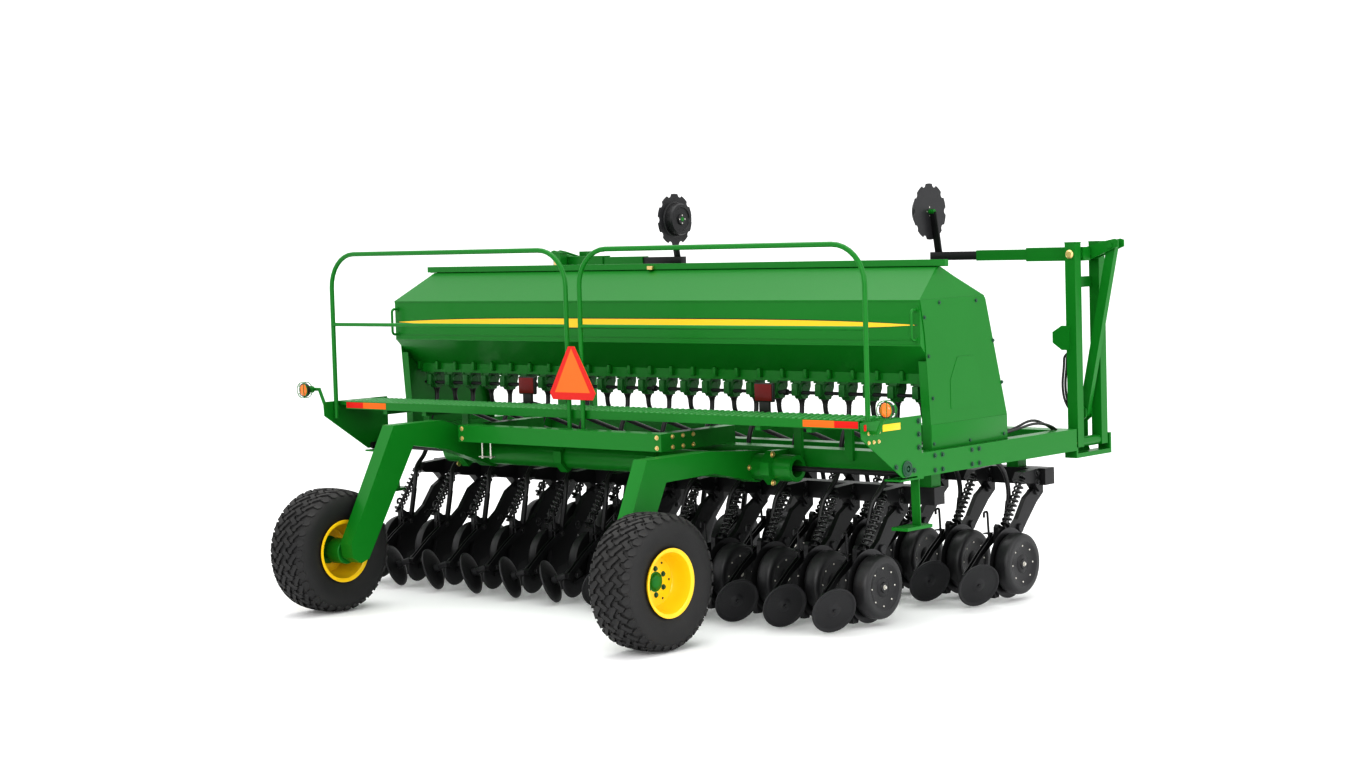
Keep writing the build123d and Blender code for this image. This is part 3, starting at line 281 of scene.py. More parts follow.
# The edge colour and its amount paint rubbed wear and a painted highlight on sharp edges together.
def make_finish(name, base, roughness, grain=0.12, tone=0.12, dirt=0.12, edge=(0.6, 0.6, 0.6),
                wear_and_highlight=0.05, bump=0.0006, metal=0, coat=0, specular=0.5):
    """A painted, cast or rubber finish made from the three shared effects."""
    material = bpy.data.materials.new(name)
    material.use_nodes = True
    tree = material.node_tree
    link = tree.links.new
    inputs = tree.nodes["Principled BSDF"].inputs
    tone_node = group_node(tree, drift, Colour=(*base, 1), Amount=tone, Roughness=roughness, Grain=grain)
    edge_node = group_node(tree, rub_and_highlight, Edge=(*edge, 1), Amount=wear_and_highlight)
    dust_node = group_node(tree, dust, Amount=dirt)
    link(tone_node.outputs["Colour"], edge_node.inputs["Colour"])
    link(edge_node.outputs["Colour"], dust_node.inputs["Colour"])
    link(dust_node.outputs["Colour"], inputs["Base Color"])
    dull = product(tree, dust_node.outputs["Mask"], dust_dulling)
    link(math_node(tree, "ADD", tone_node.outputs["Roughness"], dull), inputs["Roughness"])
    relief = tree.nodes.new("ShaderNodeBump")
    relief.inputs["Distance"].default_value = bump
    relief.inputs["Strength"].default_value = relief_strength
    link(tone_node.outputs["Height"], relief.inputs["Height"])
    link(relief.outputs["Normal"], inputs["Normal"])
    inputs["Metallic"].default_value = metal
    inputs["Coat Weight"].default_value = coat
    inputs["Coat Roughness"].default_value = coat_roughness
    inputs["Specular IOR Level"].default_value = specular
    finishes[name] = material


make_finish("green_paint", (0.006, 0.175, 0.016), 0.38, coat=0.12, edge=(0.05, 0.36, 0.08), dirt=0.01,
            tone=0.1, specular=0.3)
make_finish("tread_green", (0.012, 0.2, 0.03), 0.3, edge=(0.2, 0.6, 0.25), wear_and_highlight=0.15)
make_finish("dark_green", (0.005, 0.07, 0.03), 0.4, edge=(0.1, 0.3, 0.2))
make_finish("yellow_paint", (0.86, 0.56, 0.008), 0.3, coat=0.4, edge=(0.95, 0.8, 0.3), dirt=0.04)
make_finish("black_paint", (0.006, 0.006, 0.007), 0.36, edge=(0.14, 0.14, 0.15), wear_and_highlight=0.1, dirt=0.04,
            specular=0.4)
make_finish("black_casting", (0.02, 0.02, 0.022), 0.36, grain=0.3, bump=0.002, edge=(0.14, 0.14, 0.15),
            wear_and_highlight=0.1, dirt=0.04, specular=0.4)
make_finish("meter_casting", (0.004, 0.12, 0.014), 0.4, grain=0.3, bump=0.002, edge=(0.2, 0.5, 0.2),
            dirt=0.05)
make_finish("disc_steel", (0.05, 0.05, 0.053), 0.34, metal=0.8, edge=(0.6, 0.6, 0.62))
make_finish("spring_steel", (0.012, 0.012, 0.013), 0.25, coat=0.5, edge=(0.3, 0.3, 0.3), wear_and_highlight=0.1, dirt=0.03)
make_finish("zinc_bolt", (0.62, 0.6, 0.55), 0.28, metal=0.9, edge=(0.9, 0.9, 0.88))
make_finish("brass_bolt", (0.75, 0.55, 0.25), 0.3, metal=0.8, edge=(0.95, 0.85, 0.6))
make_finish("wheel_rubber", (0.024, 0.024, 0.026), 0.4, bump=0.001, edge=(0.06, 0.06, 0.06), dirt=0.05)
make_finish("hose_rubber", (0.014, 0.014, 0.016), 0.36, edge=(0.08, 0.08, 0.08))
make_finish("black_plastic", (0.012, 0.012, 0.012), 0.5, edge=(0.1, 0.1, 0.1))
make_finish("tyre", (0.014, 0.014, 0.015), 0.62, grain=0.2, bump=0.0012, edge=(0.13, 0.13, 0.13), wear_and_highlight=0.25,
            dirt=0.1)
make_finish("amber_lens", (0.85, 0.2, 0.005), 0.16, coat=0.8, dirt=0.02, tone=0.3)
make_finish("red_lens", (0.14, 0.002, 0.002), 0.25, coat=0.1, dirt=0, tone=0.3, specular=0.2)
make_finish("sign_orange", (0.85, 0.16, 0.012), 0.5, dirt=0, tone=0.05, specular=0.15)
make_finish("sign_red", (0.62, 0.012, 0.006), 0.5, dirt=0, tone=0.08, specular=0.15)
make_finish("stripe_yellow", (0.85, 0.55, 0.008), 0.3, dirt=0.02, tone=0.05)
make_finish("stripe_black", (0.008, 0.01, 0.008), 0.3, dirt=0.02)
node_slots = {part["node"]: part["material_slot"] for part in frame["record"]["subparts"]}
for name, piece in nodes.items():
    piece.data.materials.clear()
    piece.data.materials.append(finishes[node_slots[name]])
print("finishes", len(finishes))

# %% [markdown]
# Wheels, discs, lamps and hubs are all turned shapes. By hand one would draw half of the section with a
# single vertex, extruded from point to point, and spin it once round the axle. The helper below does
# just that, then closes the seam. The last helper gives each finished piece its finish and its body.

# %% Turned shapes and finished pieces
green = "green_paint"
seam_width = 1e-5


def edit_whole():
    """Opens the active piece for editing, with all of it selected."""
    bpy.ops.object.mode_set(mode="EDIT")
    bpy.ops.mesh.select_all(action="SELECT")


def close_up():
    """Welds double points, turns all faces outwards and ends the editing."""
    bpy.ops.mesh.select_all(action="SELECT")
    bpy.ops.mesh.remove_doubles(threshold=seam_width)
    bpy.ops.mesh.normals_make_consistent(inside=False)
    bpy.ops.object.mode_set(mode="OBJECT")
    bpy.ops.object.transform_apply()
    return bpy.context.object


def profile_line(points):
    """A line of edges through the points, drawn by extruding one vertex. It stays in edit mode."""
    deselect()
    bpy.ops.mesh.primitive_plane_add(size=0.01, location=points[0])
    edit_whole()
    bpy.ops.mesh.merge(type="CENTER")
    last = Vector(points[0])
    for point in points[1:]:
        bpy.ops.mesh.extrude_region_move(TRANSFORM_OT_translate={"value": Vector(point) - last})
        last = Vector(point)
    bpy.ops.mesh.select_all(action="SELECT")


def turned(points, steps):
    """A shape turned round the X axis from closed (along, radius) points."""
    profile_line([(along, 0, radius) for along, radius in (*points, points[0])])
    bpy.ops.mesh.spin(steps=steps, angle=2 * pi, axis=(1, 0, 0))
    return close_up()


def two_sided(half, middle=()):
    """A section that is the same on both sides of its middle, from the points of one side."""
    return [*((-along, radius) for along, radius in reversed(half)), *middle, *half]


def frame_of(axis, place):
    """The matrix that carries the X axis onto a direction and the origin to a place."""
    turn = Vector(axis).to_track_quat("X", "Z").to_matrix().to_4x4()
    return slide(place) @ turn


def copies(piece, placings):
    """One copy of the piece, with its own mesh, for each matrix; the pattern itself is removed."""
    made = []
    for placing in placings:
        twin = piece.copy()
        twin.data = piece.data.copy()
        twin.data.transform(placing)
        if placing.determinant() < 0:
            twin.data.flip_normals()
        scene.collection.objects.link(twin)
        made.append(twin)
    bpy.data.objects.remove(piece)
    return made


def moved(piece, placing):
    """The piece carried to its place."""
    return copies(piece, [placing])[0]


def joined(pieces):
    """One object from several. It alone is selected."""
    deselect()
    for piece in pieces:
        piece.select_set(True)
    bpy.context.view_layer.objects.active = pieces[0]
    if len(pieces) > 1:
        bpy.ops.object.join()
    return pieces[0]


def finished(pieces, name, finish, body="frame", replaced=(), smooth=35):
    """Joins pieces, names and smooths them, gives them a finish and lets them ride on a body."""
    piece = joined(pieces if isinstance(pieces, list) else [pieces])
    piece.name = piece.data.name = name
    bpy.ops.object.transform_apply()
    bpy.ops.object.shade_smooth_by_angle(angle=radians(smooth))
    piece.data.materials.clear()
    piece.data.materials.append(finishes[finish])
    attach(piece, body)
    if replaced:
        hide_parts(*replaced)
    print(name, len(piece.data.polygons), "faces")


# %% [markdown]
# The tyre is the boldest surface near the camera: six columns of S-shaped blocks on a round-shouldered
# carcass. One flat block is shaped, copied over one pitch, and each vertex is then wrapped
# round the tyre: its place across the tread runs down over the shoulder, its place along the tread
# becomes an angle.

# %% Tyres
sides = ((-1, "left"), (1, "right"))
tyre_low, tyre_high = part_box("tyre_right")
tyre_centre = (tyre_low + tyre_high) / 2
tyre_radius = (tyre_high.z - tyre_low.z) / 2
half_tyre = (tyre_high.x - tyre_low.x) / 2
tread_depth = 0.011
flat_half = 0.108
shoulder_radius = 0.05
crown_drop = 0.007
bead_radius = 0.192
block_waist, block_ends, block_rake = 0.55, 0.5, 0.25
wall_draft = (0.84, 0.9, 1)


def across_tread(s, rise=0):
    """(along the axle, radius) of a point s across the tread, raised off the carcass."""
    side = -1 if s < 0 else 1
    reach = abs(s)
    ground = tyre_radius - tread_depth
    if reach <= flat_half:
        return s, ground - crown_drop * (reach / flat_half) ** 2 + rise
    turn = (reach - flat_half) / shoulder_radius
    return (side * (flat_half + (shoulder_radius + rise) * sin(turn)),
            ground - crown_drop - shoulder_radius + (shoulder_radius + rise) * cos(turn))


def tread_block(length, width, bow):
    """An S-shaped block with slightly drawn-in walls, lying flat on XY."""
    deselect()
    bpy.ops.mesh.primitive_grid_add(x_subdivisions=1, y_subdivisions=4, size=1)
    lug = bpy.context.object
    for vertex in lug.data.vertices:
        along = vertex.co.y
        narrow = block_ends if abs(along) > 0.49 else 1 - block_waist * (2 * along) ** 2
        vertex.co.x = vertex.co.x * width * narrow + bow * sin(along * 2 * pi) * 0.5 + bow * along
        vertex.co.y = along * length + vertex.co.x * block_rake
    edit_whole()
    bpy.ops.mesh.extrude_region_move(TRANSFORM_OT_translate={"value": (0, 0, tread_depth)})
    bpy.ops.transform.resize(value=wall_draft)
    bpy.ops.object.mode_set(mode="OBJECT")
    return lug


def wrap_round(piece):
    """Wraps a flat strip, X across and Y along, onto the tyre."""
    for vertex in piece.data.vertices:
        along_axle, radius = across_tread(vertex.co.x, vertex.co.z)
        angle = vertex.co.y / tyre_radius
        vertex.co = (along_axle, radius * sin(angle), radius * cos(angle))


def from_side(points):
    """Section points given by how far in from the tyre's side they are, and by their radius."""
    return [(half_tyre - inset, radius) for inset, radius in points]


pitch_count = 34
tread_pitch = 2 * pi * tyre_radius / pitch_count
tread_columns = (  # place across, shift along in pitches, slant of the block
    (-0.141, 0.15, 0), (-0.092, 0.65, 1), (-0.034, 0.2, -1),
    (0.034, 0.7, 1), (0.092, 0.25, -1), (0.141, 0.75, 0))
half_crown = [across_tread(s) for s in (0.06, flat_half, 0.13, 0.145, 0.16, 0.175)]
wall = from_side([(0.003, tyre_radius - 0.085), (0.006, tyre_radius - 0.13), (0.02, tyre_radius - 0.175),
                  (0.03, bead_radius + 0.014), (0.036, bead_radius)])
section = two_sided(half_crown + wall, [across_tread(0)])
section += [(half_tyre - 0.06, bead_radius), (0, bead_radius + 0.02), (-half_tyre + 0.06, bead_radius)]
carcass = turned(section, 96)
blocks = []
for place, shift, slant in tread_columns:
    length, width = (1.02, 0.048) if slant else (0.7, 0.052)
    blocks += copies(tread_block(tread_pitch * length, width, 0.03 * slant), [
        slide((place, (k + shift) * tread_pitch, 0)) for k in range(pitch_count)])
tread = joined(blocks)
wrap_round(tread)
tread.data.flip_normals()
tyres = copies(joined([carcass, tread]), [
    slide((side * tyre_centre.x, tyre_centre.y, tyre_centre.z))
    @ Matrix.Rotation(pi if side < 0 else 0, 4, "Z") for side in (-1, 1)])
for (_, name), tyre in zip(sides, tyres):
    finished(tyre, "treaded_tyre_" + name, "tyre", "wheel_" + name, replaced=("tyre_" + name,))

# %% [markdown]
# Every row has the same opener, so each of its parts is modelled once beside the origin, seen from the
# row's disc, and copied to all rows. Rows left of the middle are mirror images: their copies get a
# minus sign across the drill, and their faces are turned round again.

# %% Row places and small hardware
def row_placing(x, y, z):
    """The matrix of a row. Rows left of the middle are mirror images."""
    return slide((x, y, z)) @ Matrix.Diagonal((1 if x > 0 else -1, 1, 1, 1))


row_placings = [row_placing(x, y, disc_z) for x, y in openers]


def on_every_row(pattern, name, finish, replaced=(), smooth=35):
    """Copies a pattern to all rows and finishes the copies as one piece."""
    finished(copies(pattern, row_placings), name, finish, "frame", replaced, smooth)


def bolt_head(across):
    """A hexagon head on a washer, standing on the YZ plane and facing along X."""
    height, foot = across * 0.42, across * 0.14
    washer = turned([(0, 0), (0, across * 0.8), (across * 0.1, across * 0.8), (foot, across * 0.74),
                     (foot, 0)], 14)
    deselect()
    bpy.ops.mesh.primitive_cylinder_add(vertices=6, radius=across * 0.577, depth=height,
                                        location=(foot + height / 2, 0, 0), rotation=(0, pi / 2, 0))
    head = bpy.context.object
    edit_whole()
    bpy.ops.mesh.bevel(offset=across * 0.045, segments=1)
    bpy.ops.object.mode_set(mode="OBJECT")
    bpy.ops.object.transform_apply()
    return joined([washer, head])


def ring_of(pattern, count, radius, along):
    """Copies of a pattern in a ring round the X axis."""
    start = slide((along, 0, radius))
    return copies(pattern, [Matrix.Rotation(2 * pi * k / count, 4, "X") @ start for k in range(count)])


def dome(radius, height):
    """A rivet's round head, facing along X."""
    return turned([(0, 0), (0, radius), (height * 0.55, radius * 0.85), (height * 0.9, radius * 0.5),
                   (height, 0)], 10)


print("rows", len(row_placings))

# %% [markdown]
# The gauge wheel runs against the disc. Its tyre is a round-shouldered rubber ring on a pressed dish.
# Eight rivets and a cap bolt are a plated piece of their own. The disc is a thin plate, ground at its edge.

# %% Gauge wheels and discs
wheel_side = 0.006
rivet_ring = 0.118
blade_half = 0.0025


def beside_disc(points):
    """A section measured from the gauge wheel's inner side."""
    return turned([(wheel_side + along, radius) for along, radius in points], 40)


gauge_tyre = beside_disc([(0, 0.148), (0, 0.17), (0.004, 0.186), (0.016, 0.196), (0.034, 0.2), (0.08, 0.2),
                          (0.098, 0.195), (0.108, 0.185), (0.112, 0.17), (0.11, 0.148)])
on_every_row(gauge_tyre, "gauge_tyres", "wheel_rubber", ("gauge_wheels",), smooth=50)
gauge_dish = beside_disc([(0.002, 0.149), (0.1085, 0.15), (0.108, 0.14), (0.102, 0.13), (0.097, 0.11),
                          (0.095, 0.062), (0.1, 0.056), (0.102, 0.034), (0.11, 0.03), (0.11, 0), (0.004, 0)])
on_every_row(gauge_dish, "gauge_wheel_dishes", "black_casting")
rivets = ring_of(dome(0.007, 0.005), 8, rivet_ring, wheel_side + 0.0985)
cap_bolt = moved(bolt_head(0.02), slide((wheel_side + 0.109, 0, 0)))
on_every_row(joined([*rivets, cap_bolt]), "gauge_rivets", "zinc_bolt")
blade_side = [(blade_half, disc_radius - 0.016), (blade_half, 0)]
disc_blade = turned(two_sided(blade_side, [(0.0004, disc_radius)]), 56)
on_every_row(disc_blade, "disc_blades", "disc_steel", ("opener_discs",), smooth=20)

# %% [markdown]
# Behind each disc a narrow rubber wheel presses the seed, and a dished iron wheel, toed in and leaning,
# closes the slot. Both are turned too. The dished wheel has a rolled rim, a cone and a small eye.

# %% Press wheels and closing wheels
press_place = Vector((-0.018, -0.28, -0.108))
press_tyre = turned(two_sided([(0.006, 0.102), (0.011, 0.09), (0.013, 0.07), (0.012, 0)], [(0, 0.105)]), 30)
on_every_row(moved(press_tyre, slide(press_place)), "press_tyres", "wheel_rubber",
             ("press_wheels",), smooth=50)
toe, lean = radians(25), radians(20)
closer_axis = Vector((cos(lean) * cos(toe), -cos(lean) * sin(toe), -sin(lean)))
closer_place = Vector((0.048, -0.431, -0.088))
closer = turned([(-0.011, 0), (-0.011, 0.03), (-0.012, 0.112), (-0.011, 0.13), (-0.007, 0.146),
                 (-0.003, 0.148), (0.004, 0.148), (0.006, 0.144), (0.0045, 0.137), (-0.001, 0.131),
                 (-0.002, 0.12), (0, 0.05), (0.002, 0.04), (0.006, 0.034), (0.0065, 0)], 44)
closer_eye = turned([(0.006, 0), (0.006, 0.009), (0.0075, 0.0095), (0.0085, 0.008), (0.0085, 0)], 16)
closing_wheel = moved(joined([closer, closer_eye]), frame_of(closer_axis, closer_place))
on_every_row(closing_wheel, "dished_closing_wheels", "black_casting", ("closing_wheels",), smooth=40)

# %% [markdown]
# The down-pressure spring is a round wire wound nine times. A small circle is carried round the axis by
# a screw modifier, which lifts it by one pitch in each turn, and the modifier is then applied.

# %% Coil springs
spring_wire = 0.0072
spring_coil = 0.0258
spring_turns = 9
spring_seat = 0.026
guide_radius = 0.012
spring_top = Vector((0.02, 0.141, 0.54))
spring_foot = Vector((0.02, -0.066, 0.262))
spring_way = (spring_foot - spring_top).normalized()
spring_start = spring_top + spring_way * spring_seat
spring_span = (spring_foot - spring_start).length
deselect()
bpy.ops.mesh.primitive_circle_add(vertices=8, radius=spring_wire, location=(spring_coil, 0, spring_wire),
                                  rotation=(pi / 2, 0, 0))
spring = bpy.context.object
bpy.ops.object.transform_apply()
winding = spring.modifiers.new("winding", "SCREW")
winding.screw_offset = (spring_span - 2 * spring_wire) / spring_turns
winding.iterations = spring_turns
winding.steps = winding.render_steps = 18
bpy.ops.object.modifier_apply(modifier=winding.name)
edit_whole()
bpy.ops.mesh.fill_holes(sides=12)
spring_turn = spring_way.to_track_quat("Z", "Y").to_matrix().to_4x4()
spring = moved(close_up(), slide(spring_start) @ spring_turn)
guide = turned([(0, 0), (0, guide_radius), (spring_span, guide_radius), (spring_span, 0)], 10)
guide = moved(guide, frame_of(spring_way, spring_start))
on_every_row(joined([spring, guide]), "coil_springs", "spring_steel", ("opener_springs",), smooth=60)

# %% [markdown]
# Rails and hoses are tubes along a line. By hand one draws the line vertex by vertex, turns it into a
# curve, gives the curve a round bevel and makes it a mesh again. Rails get round corners first, hoses
# become smooth curves that hang between their points.

# %% Tubes along a line
def rounded(points, radius, steps=8):
    """The points with every inner corner replaced by an arc."""
    points = [Vector(point) for point in points]
    line = [points[0]]
    for before, corner, after in zip(points, points[1:], points[2:]):
        back, on = (before - corner).normalized(), (after - corner).normalized()
        half_angle = back.angle(on) / 2
        reach = radius / tan(half_angle)
        centre = corner + (back + on).normalized() * radius / sin(half_angle)
        start, end = corner + back * reach - centre, corner + on * reach - centre
        turn = start.rotation_difference(end)
        line += [centre + Quaternion().slerp(turn, k / steps) @ start for k in range(steps + 1)]
    return [*line, points[-1]]


def tube(points, radius, resolution=2, hanging=False):
    """A round tube along the points, closed at both ends."""
    profile_line(points)
    bpy.ops.object.mode_set(mode="OBJECT")
    bpy.ops.object.transform_apply()
    bpy.ops.object.convert(target="CURVE")
    path = bpy.context.object
    if hanging:
        spline = path.data.splines[0]
        spline.type = "NURBS"
        spline.order_u = 3
        spline.use_endpoint_u = True
        spline.resolution_u = 4
    path.data.bevel_depth = radius
    path.data.bevel_resolution = resolution
    path.data.use_fill_caps = True
    bpy.ops.object.convert(target="MESH")
    edit_whole()
    return close_up()


def block(low, high, edge):
    """A box between two corners, with its edges broken."""
    low, high = Vector(low), Vector(high)
    deselect()
    bpy.ops.mesh.primitive_cube_add(size=1, location=(low + high) / 2)
    piece = bpy.context.object
    piece.scale = high - low
    bpy.ops.object.transform_apply()
    edit_whole()
    bpy.ops.mesh.bevel(offset=edge, segments=2)
    bpy.ops.object.mode_set(mode="OBJECT")
    return piece


def side_block(side, across, along, heights, edge):
    """A box on one side of the drill, between two distances from its middle."""
    left, right = sorted(side * x for x in across)
    return block((left, along[0], heights[0]), (right, along[1], heights[1]), edge)


def from_wall(x, y, z):
    """A place measured from the box's rear wall instead of from the middle of the drill."""
    return Vector((x, y + wall_y, z))


def wall_block(x, half, ys, heights, edge):
    """A box about one x, between two places measured from the box's rear wall."""
    return block(from_wall(x - half, ys[0], heights[0]), from_wall(x + half, ys[1], heights[1]), edge)


def hose_line(disc_y, ways):
    """The way of a seed hose from its outlet down to the opener, in the plane of its row."""
    end = Vector((-0.03, disc_y + 0.05, 0.642))
    lead = Vector((0, 0.06, 0.28)).normalized()
    points = [from_wall(0, 0.237, 1.317), *[from_wall(0, y, z) for y, z in ways], end + lead * 0.09, end]
    return tube(points, 0.0155, hanging=True)


rear_hose = hose_line(rear_disc_y, ((0.237, 1.24), (0.15, 1.13), (0.12, 0.9), (0, 0.8)))
front_hose = hose_line(rear_disc_y + rank_gap, ((0.237, 1.24), (0.42, 1.16), (1.08, 0.93)))
hose_places = [row_placing(x, 0, 0) for x, _ in openers]
hoses = joined([*copies(rear_hose, hose_places[0::2]), *copies(front_hose, hose_places[1::2])])
finished(hoses, "hoses", "hose_rubber", replaced=("seed_hoses",), smooth=70)

# %% [markdown]
# The two hoops behind the walkboard are bent tubes with a thinner rail across and a flat outer foot.
# The grab handles on the box's corners are made the same way, with a round foot at each end.

# %% Handrails and grab handles
rails_low, rails_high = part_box("handrails")
rail_radius = 0.016
rail_y = (rails_low.y + rails_high.y) / 2
rail_outer, rail_top = rails_high.x - rail_radius, rails_high.z - rail_radius
rail_inner, rail_mid = 0.062, 1.865
rails = []
for side in (-1, 1):
    hoop = [(side * rail_outer, rail_y, 1.19), (side * rail_outer, rail_y, rail_top),
            (side * rail_inner, rail_y, rail_top), (side * rail_inner, rail_y, rails_low.z)]
    middle_rail = [(side * x, rail_y, rail_mid) for x in (rail_outer - 0.01, rail_inner + 0.01)]
    rails += [tube(rounded(hoop, 0.24), rail_radius, resolution=4),
              tube(middle_rail, rail_radius * 0.8, resolution=3),
              side_block(side, (rail_outer - 0.0137, rail_outer + 0.0163), (rail_y - 0.008, rail_y + 0.008),
                         (1.2, 1.29), 0.002)]
finished(rails, "rail_hoops", green, replaced=("handrails",), smooth=50)
handles_low, handles_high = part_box("grab_handles")
handle_radius, handle_ends = 0.009, (1.95, 1.765)
handles = []
for side in (-1, 1):
    x, bow_y = side * (handles_high.x - handle_radius), handles_low.y + handle_radius
    bow = [(x, handles_high.y, handle_ends[0]), *((x, bow_y, z) for z in handle_ends),
           (x, handles_high.y, handle_ends[1])]
    handles.append(tube(rounded(bow, 0.024, 6), handle_radius, resolution=3))
    for z in handle_ends:
        foot = turned([(0, 0), (0, 0.019), (0.004, 0.019), (0.006, 0.014), (0.006, 0)], 16)
        handles.append(moved(foot, frame_of((0, -1, 0), (x, wall_y, z))))
finished(handles, "grab_bows", green, replaced=("grab_handles",), smooth=50)

# %% [markdown]
# The rims are deep yellow dishes with a rolled flange. A stepped green drum reaches through each, with
# darker studs round its cap, and small black discs outside them are painted shade standing for holes.
# All ride on the wheels' bodies.

# %% Rims and hubs
stud_count = 6
flange = from_side([(0.018, 0.182), (0.009, 0.203), (0.01, 0.207), (0.015, 0.208), (0.02, 0.204),
                    (0.026, 0.19)])
rim_section = two_sided(flange, [
    (-0.1, 0.172), (-0.06, 0.168), (-0.02, 0.15), (0.014, 0.146), (0.022, 0.136), (0.019, 0.11),
    (0.022, 0.09), (0.022, 0.06), (0.03, 0.06), (0.03, 0.094), (0.027, 0.112), (0.03, 0.13),
    (0.028, 0.148), (0.04, 0.156), (0.08, 0.168), (0.1, 0.17)])
hub_section = [
    (-0.176, 0.02), (-0.176, 0.08), (-0.172, 0.084), (-0.064, 0.084), (-0.06, 0.08), (-0.06, 0.058),
    (0.006, 0.06), (0.008, 0.088), (0.012, 0.092), (0.022, 0.092), (0.022, 0.06), (0.03, 0.06),
    (0.032, 0.05), (0.04, 0.046), (0.046, 0.04), (0.049, 0.028), (0.05, 0), (-0.17, 0)]
for side, name in sides:
    wheel = "wheel_" + name
    place = frame_of((side, 0, 0), (side * tyre_centre.x, tyre_centre.y, tyre_centre.z))
    dish = moved(turned(rim_section, 72), place)
    finished(dish, "rim_dish_" + name, "yellow_paint", wheel, replaced=("rim_" + name,), smooth=40)
    drum = moved(turned(hub_section, 48), place)
    finished(drum, "hub_drum_" + name, green, wheel, replaced=("hub_" + name,))
    studs = ring_of(bolt_head(0.021), stud_count, 0.078, 0.03)
    finished(moved(joined(studs), place), "hub_studs_" + name, "dark_green", wheel)
    # Thin black discs in place of holes: painted shade where the rim would be open.
    hole_shade = turned([(0, 0), (0, 0.008), (0.001, 0.0075), (0.001, 0)], 14)
    between = Matrix.Rotation(pi / stud_count, 4, "X")
    hole_shades = moved(joined(ring_of(hole_shade, stud_count, 0.122, 0.0285)), place @ between)
    finished(hole_shades, "rim_hole_shades_" + name, "black_plastic", wheel)

# %% [markdown]
# The walkboard's tread is pressed up in staggered rows of small scallops, longer from front to back.
# One scallop is turned, stretched and copied over the board.

# %% Walkboard tread
board_low, board_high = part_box("walkboard")
tread_half = 2.265
tread_lines, line_gap, scallop_gap = 6, 0.052, 0.048
scallop_stretch = 1.7
scallop = dome(0.013, 0.007)
upright = Matrix.Diagonal((1, scallop_stretch, 1, 1)) @ Matrix.Rotation(-pi / 2, 4, "Y")
tread_places = []
for line in range(tread_lines):
    y = board_low.y + 0.036 + line * line_gap
    for pick in range(-47, 48):
        x = (pick + (0.5 if line % 2 else 0)) * scallop_gap
        if abs(x) < tread_half:
            tread_places.append(slide((x, y, board_high.z - 0.0002)) @ upright)
finished(copies(scallop, tread_places), "walkboard_tread", "tread_green", smooth=60)

# %% [markdown]
# Flat marks are thin plates: an outline drawn vertex by vertex, filled and pushed out by about a
# millimetre. The stripe along the box tapers at both ends and has a dark outline. Red and orange tape
# marks the ends of the walkboard. The sign is an orange triangle on a red plate, held by four straps.

# %% Stripe, tape and sign
def plate(outline, push):
    """A thin plate from an outline and the way it is pushed out."""
    profile_line([*outline, outline[0]])
    bpy.ops.mesh.remove_doubles(threshold=seam_width)
    bpy.ops.mesh.select_all(action="SELECT")
    bpy.ops.mesh.edge_face_add()
    bpy.ops.mesh.select_all(action="SELECT")
    bpy.ops.mesh.extrude_region_move(TRANSFORM_OT_translate={"value": push})
    return close_up()


def stripe(half_height, half_length, depth):
    """A band along the box's rear face that tapers to both ends."""
    reach = [half_length * (k / 12 - 1) for k in range(25)]
    lift = [half_height * (1 - abs(x / half_length) ** 4) + 0.002 for x in reach]
    upper = [(x, wall_y, stripe_z + h) for x, h in zip(reach, lift)]
    lower = [(x, wall_y, stripe_z - h) for x, h in zip(reach, lift)]
    return plate([*upper, *reversed(lower)], (0, -depth, 0))


stripe_z = 1.855
finished(stripe(0.035, 2.335, 0.0006), "stripe_outline", "stripe_black")
finished(stripe(0.029, 2.315, 0.0011), "stripe_band", "stripe_yellow")
tape_depth = (board_low.y - 0.0009, board_low.y + 0.001)
tape_heights = (board_high.z - 0.047, board_high.z - 0.005)
for tint, reach in (("sign_red", (2.11, 2.288)), ("sign_orange", (1.87, 2.11))):
    strips = [side_block(side, reach, tape_depth, tape_heights, 0.0003) for side in (-1, 1)]
    finished(strips, "tape_" + tint, tint)
sign_low, sign_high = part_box("rear_sign")
for name, tint, y, corners in (
        ("sign_border", "sign_red", sign_low.y, two_sided([(0.178, 1.385), (0.205, 1.43), (0.028, 1.735)])),
        ("sign_triangle", "sign_orange", sign_low.y - 0.001, [(-0.158, 1.432), (0.158, 1.432), (0, 1.722)])):
    finished(plate([(x, y, z) for x, z in corners], (0, -0.001, 0)), name, tint)
straps = [block((x - 0.02, sign_high.y - 0.006, z - 0.006), (x + 0.02, sign_high.y - 0.002, z + 0.006),
                0.001) for x in (-rail_inner, rail_inner) for z in (1.5, 1.62)]
finished(straps, "sign_straps", "zinc_bolt")

# %% [markdown]
# The amber lamps are two shallow domes back to back in a black ring, behind a wire guard. The tail
# lamps are red lenses in black housings on the walkboard's front edge.

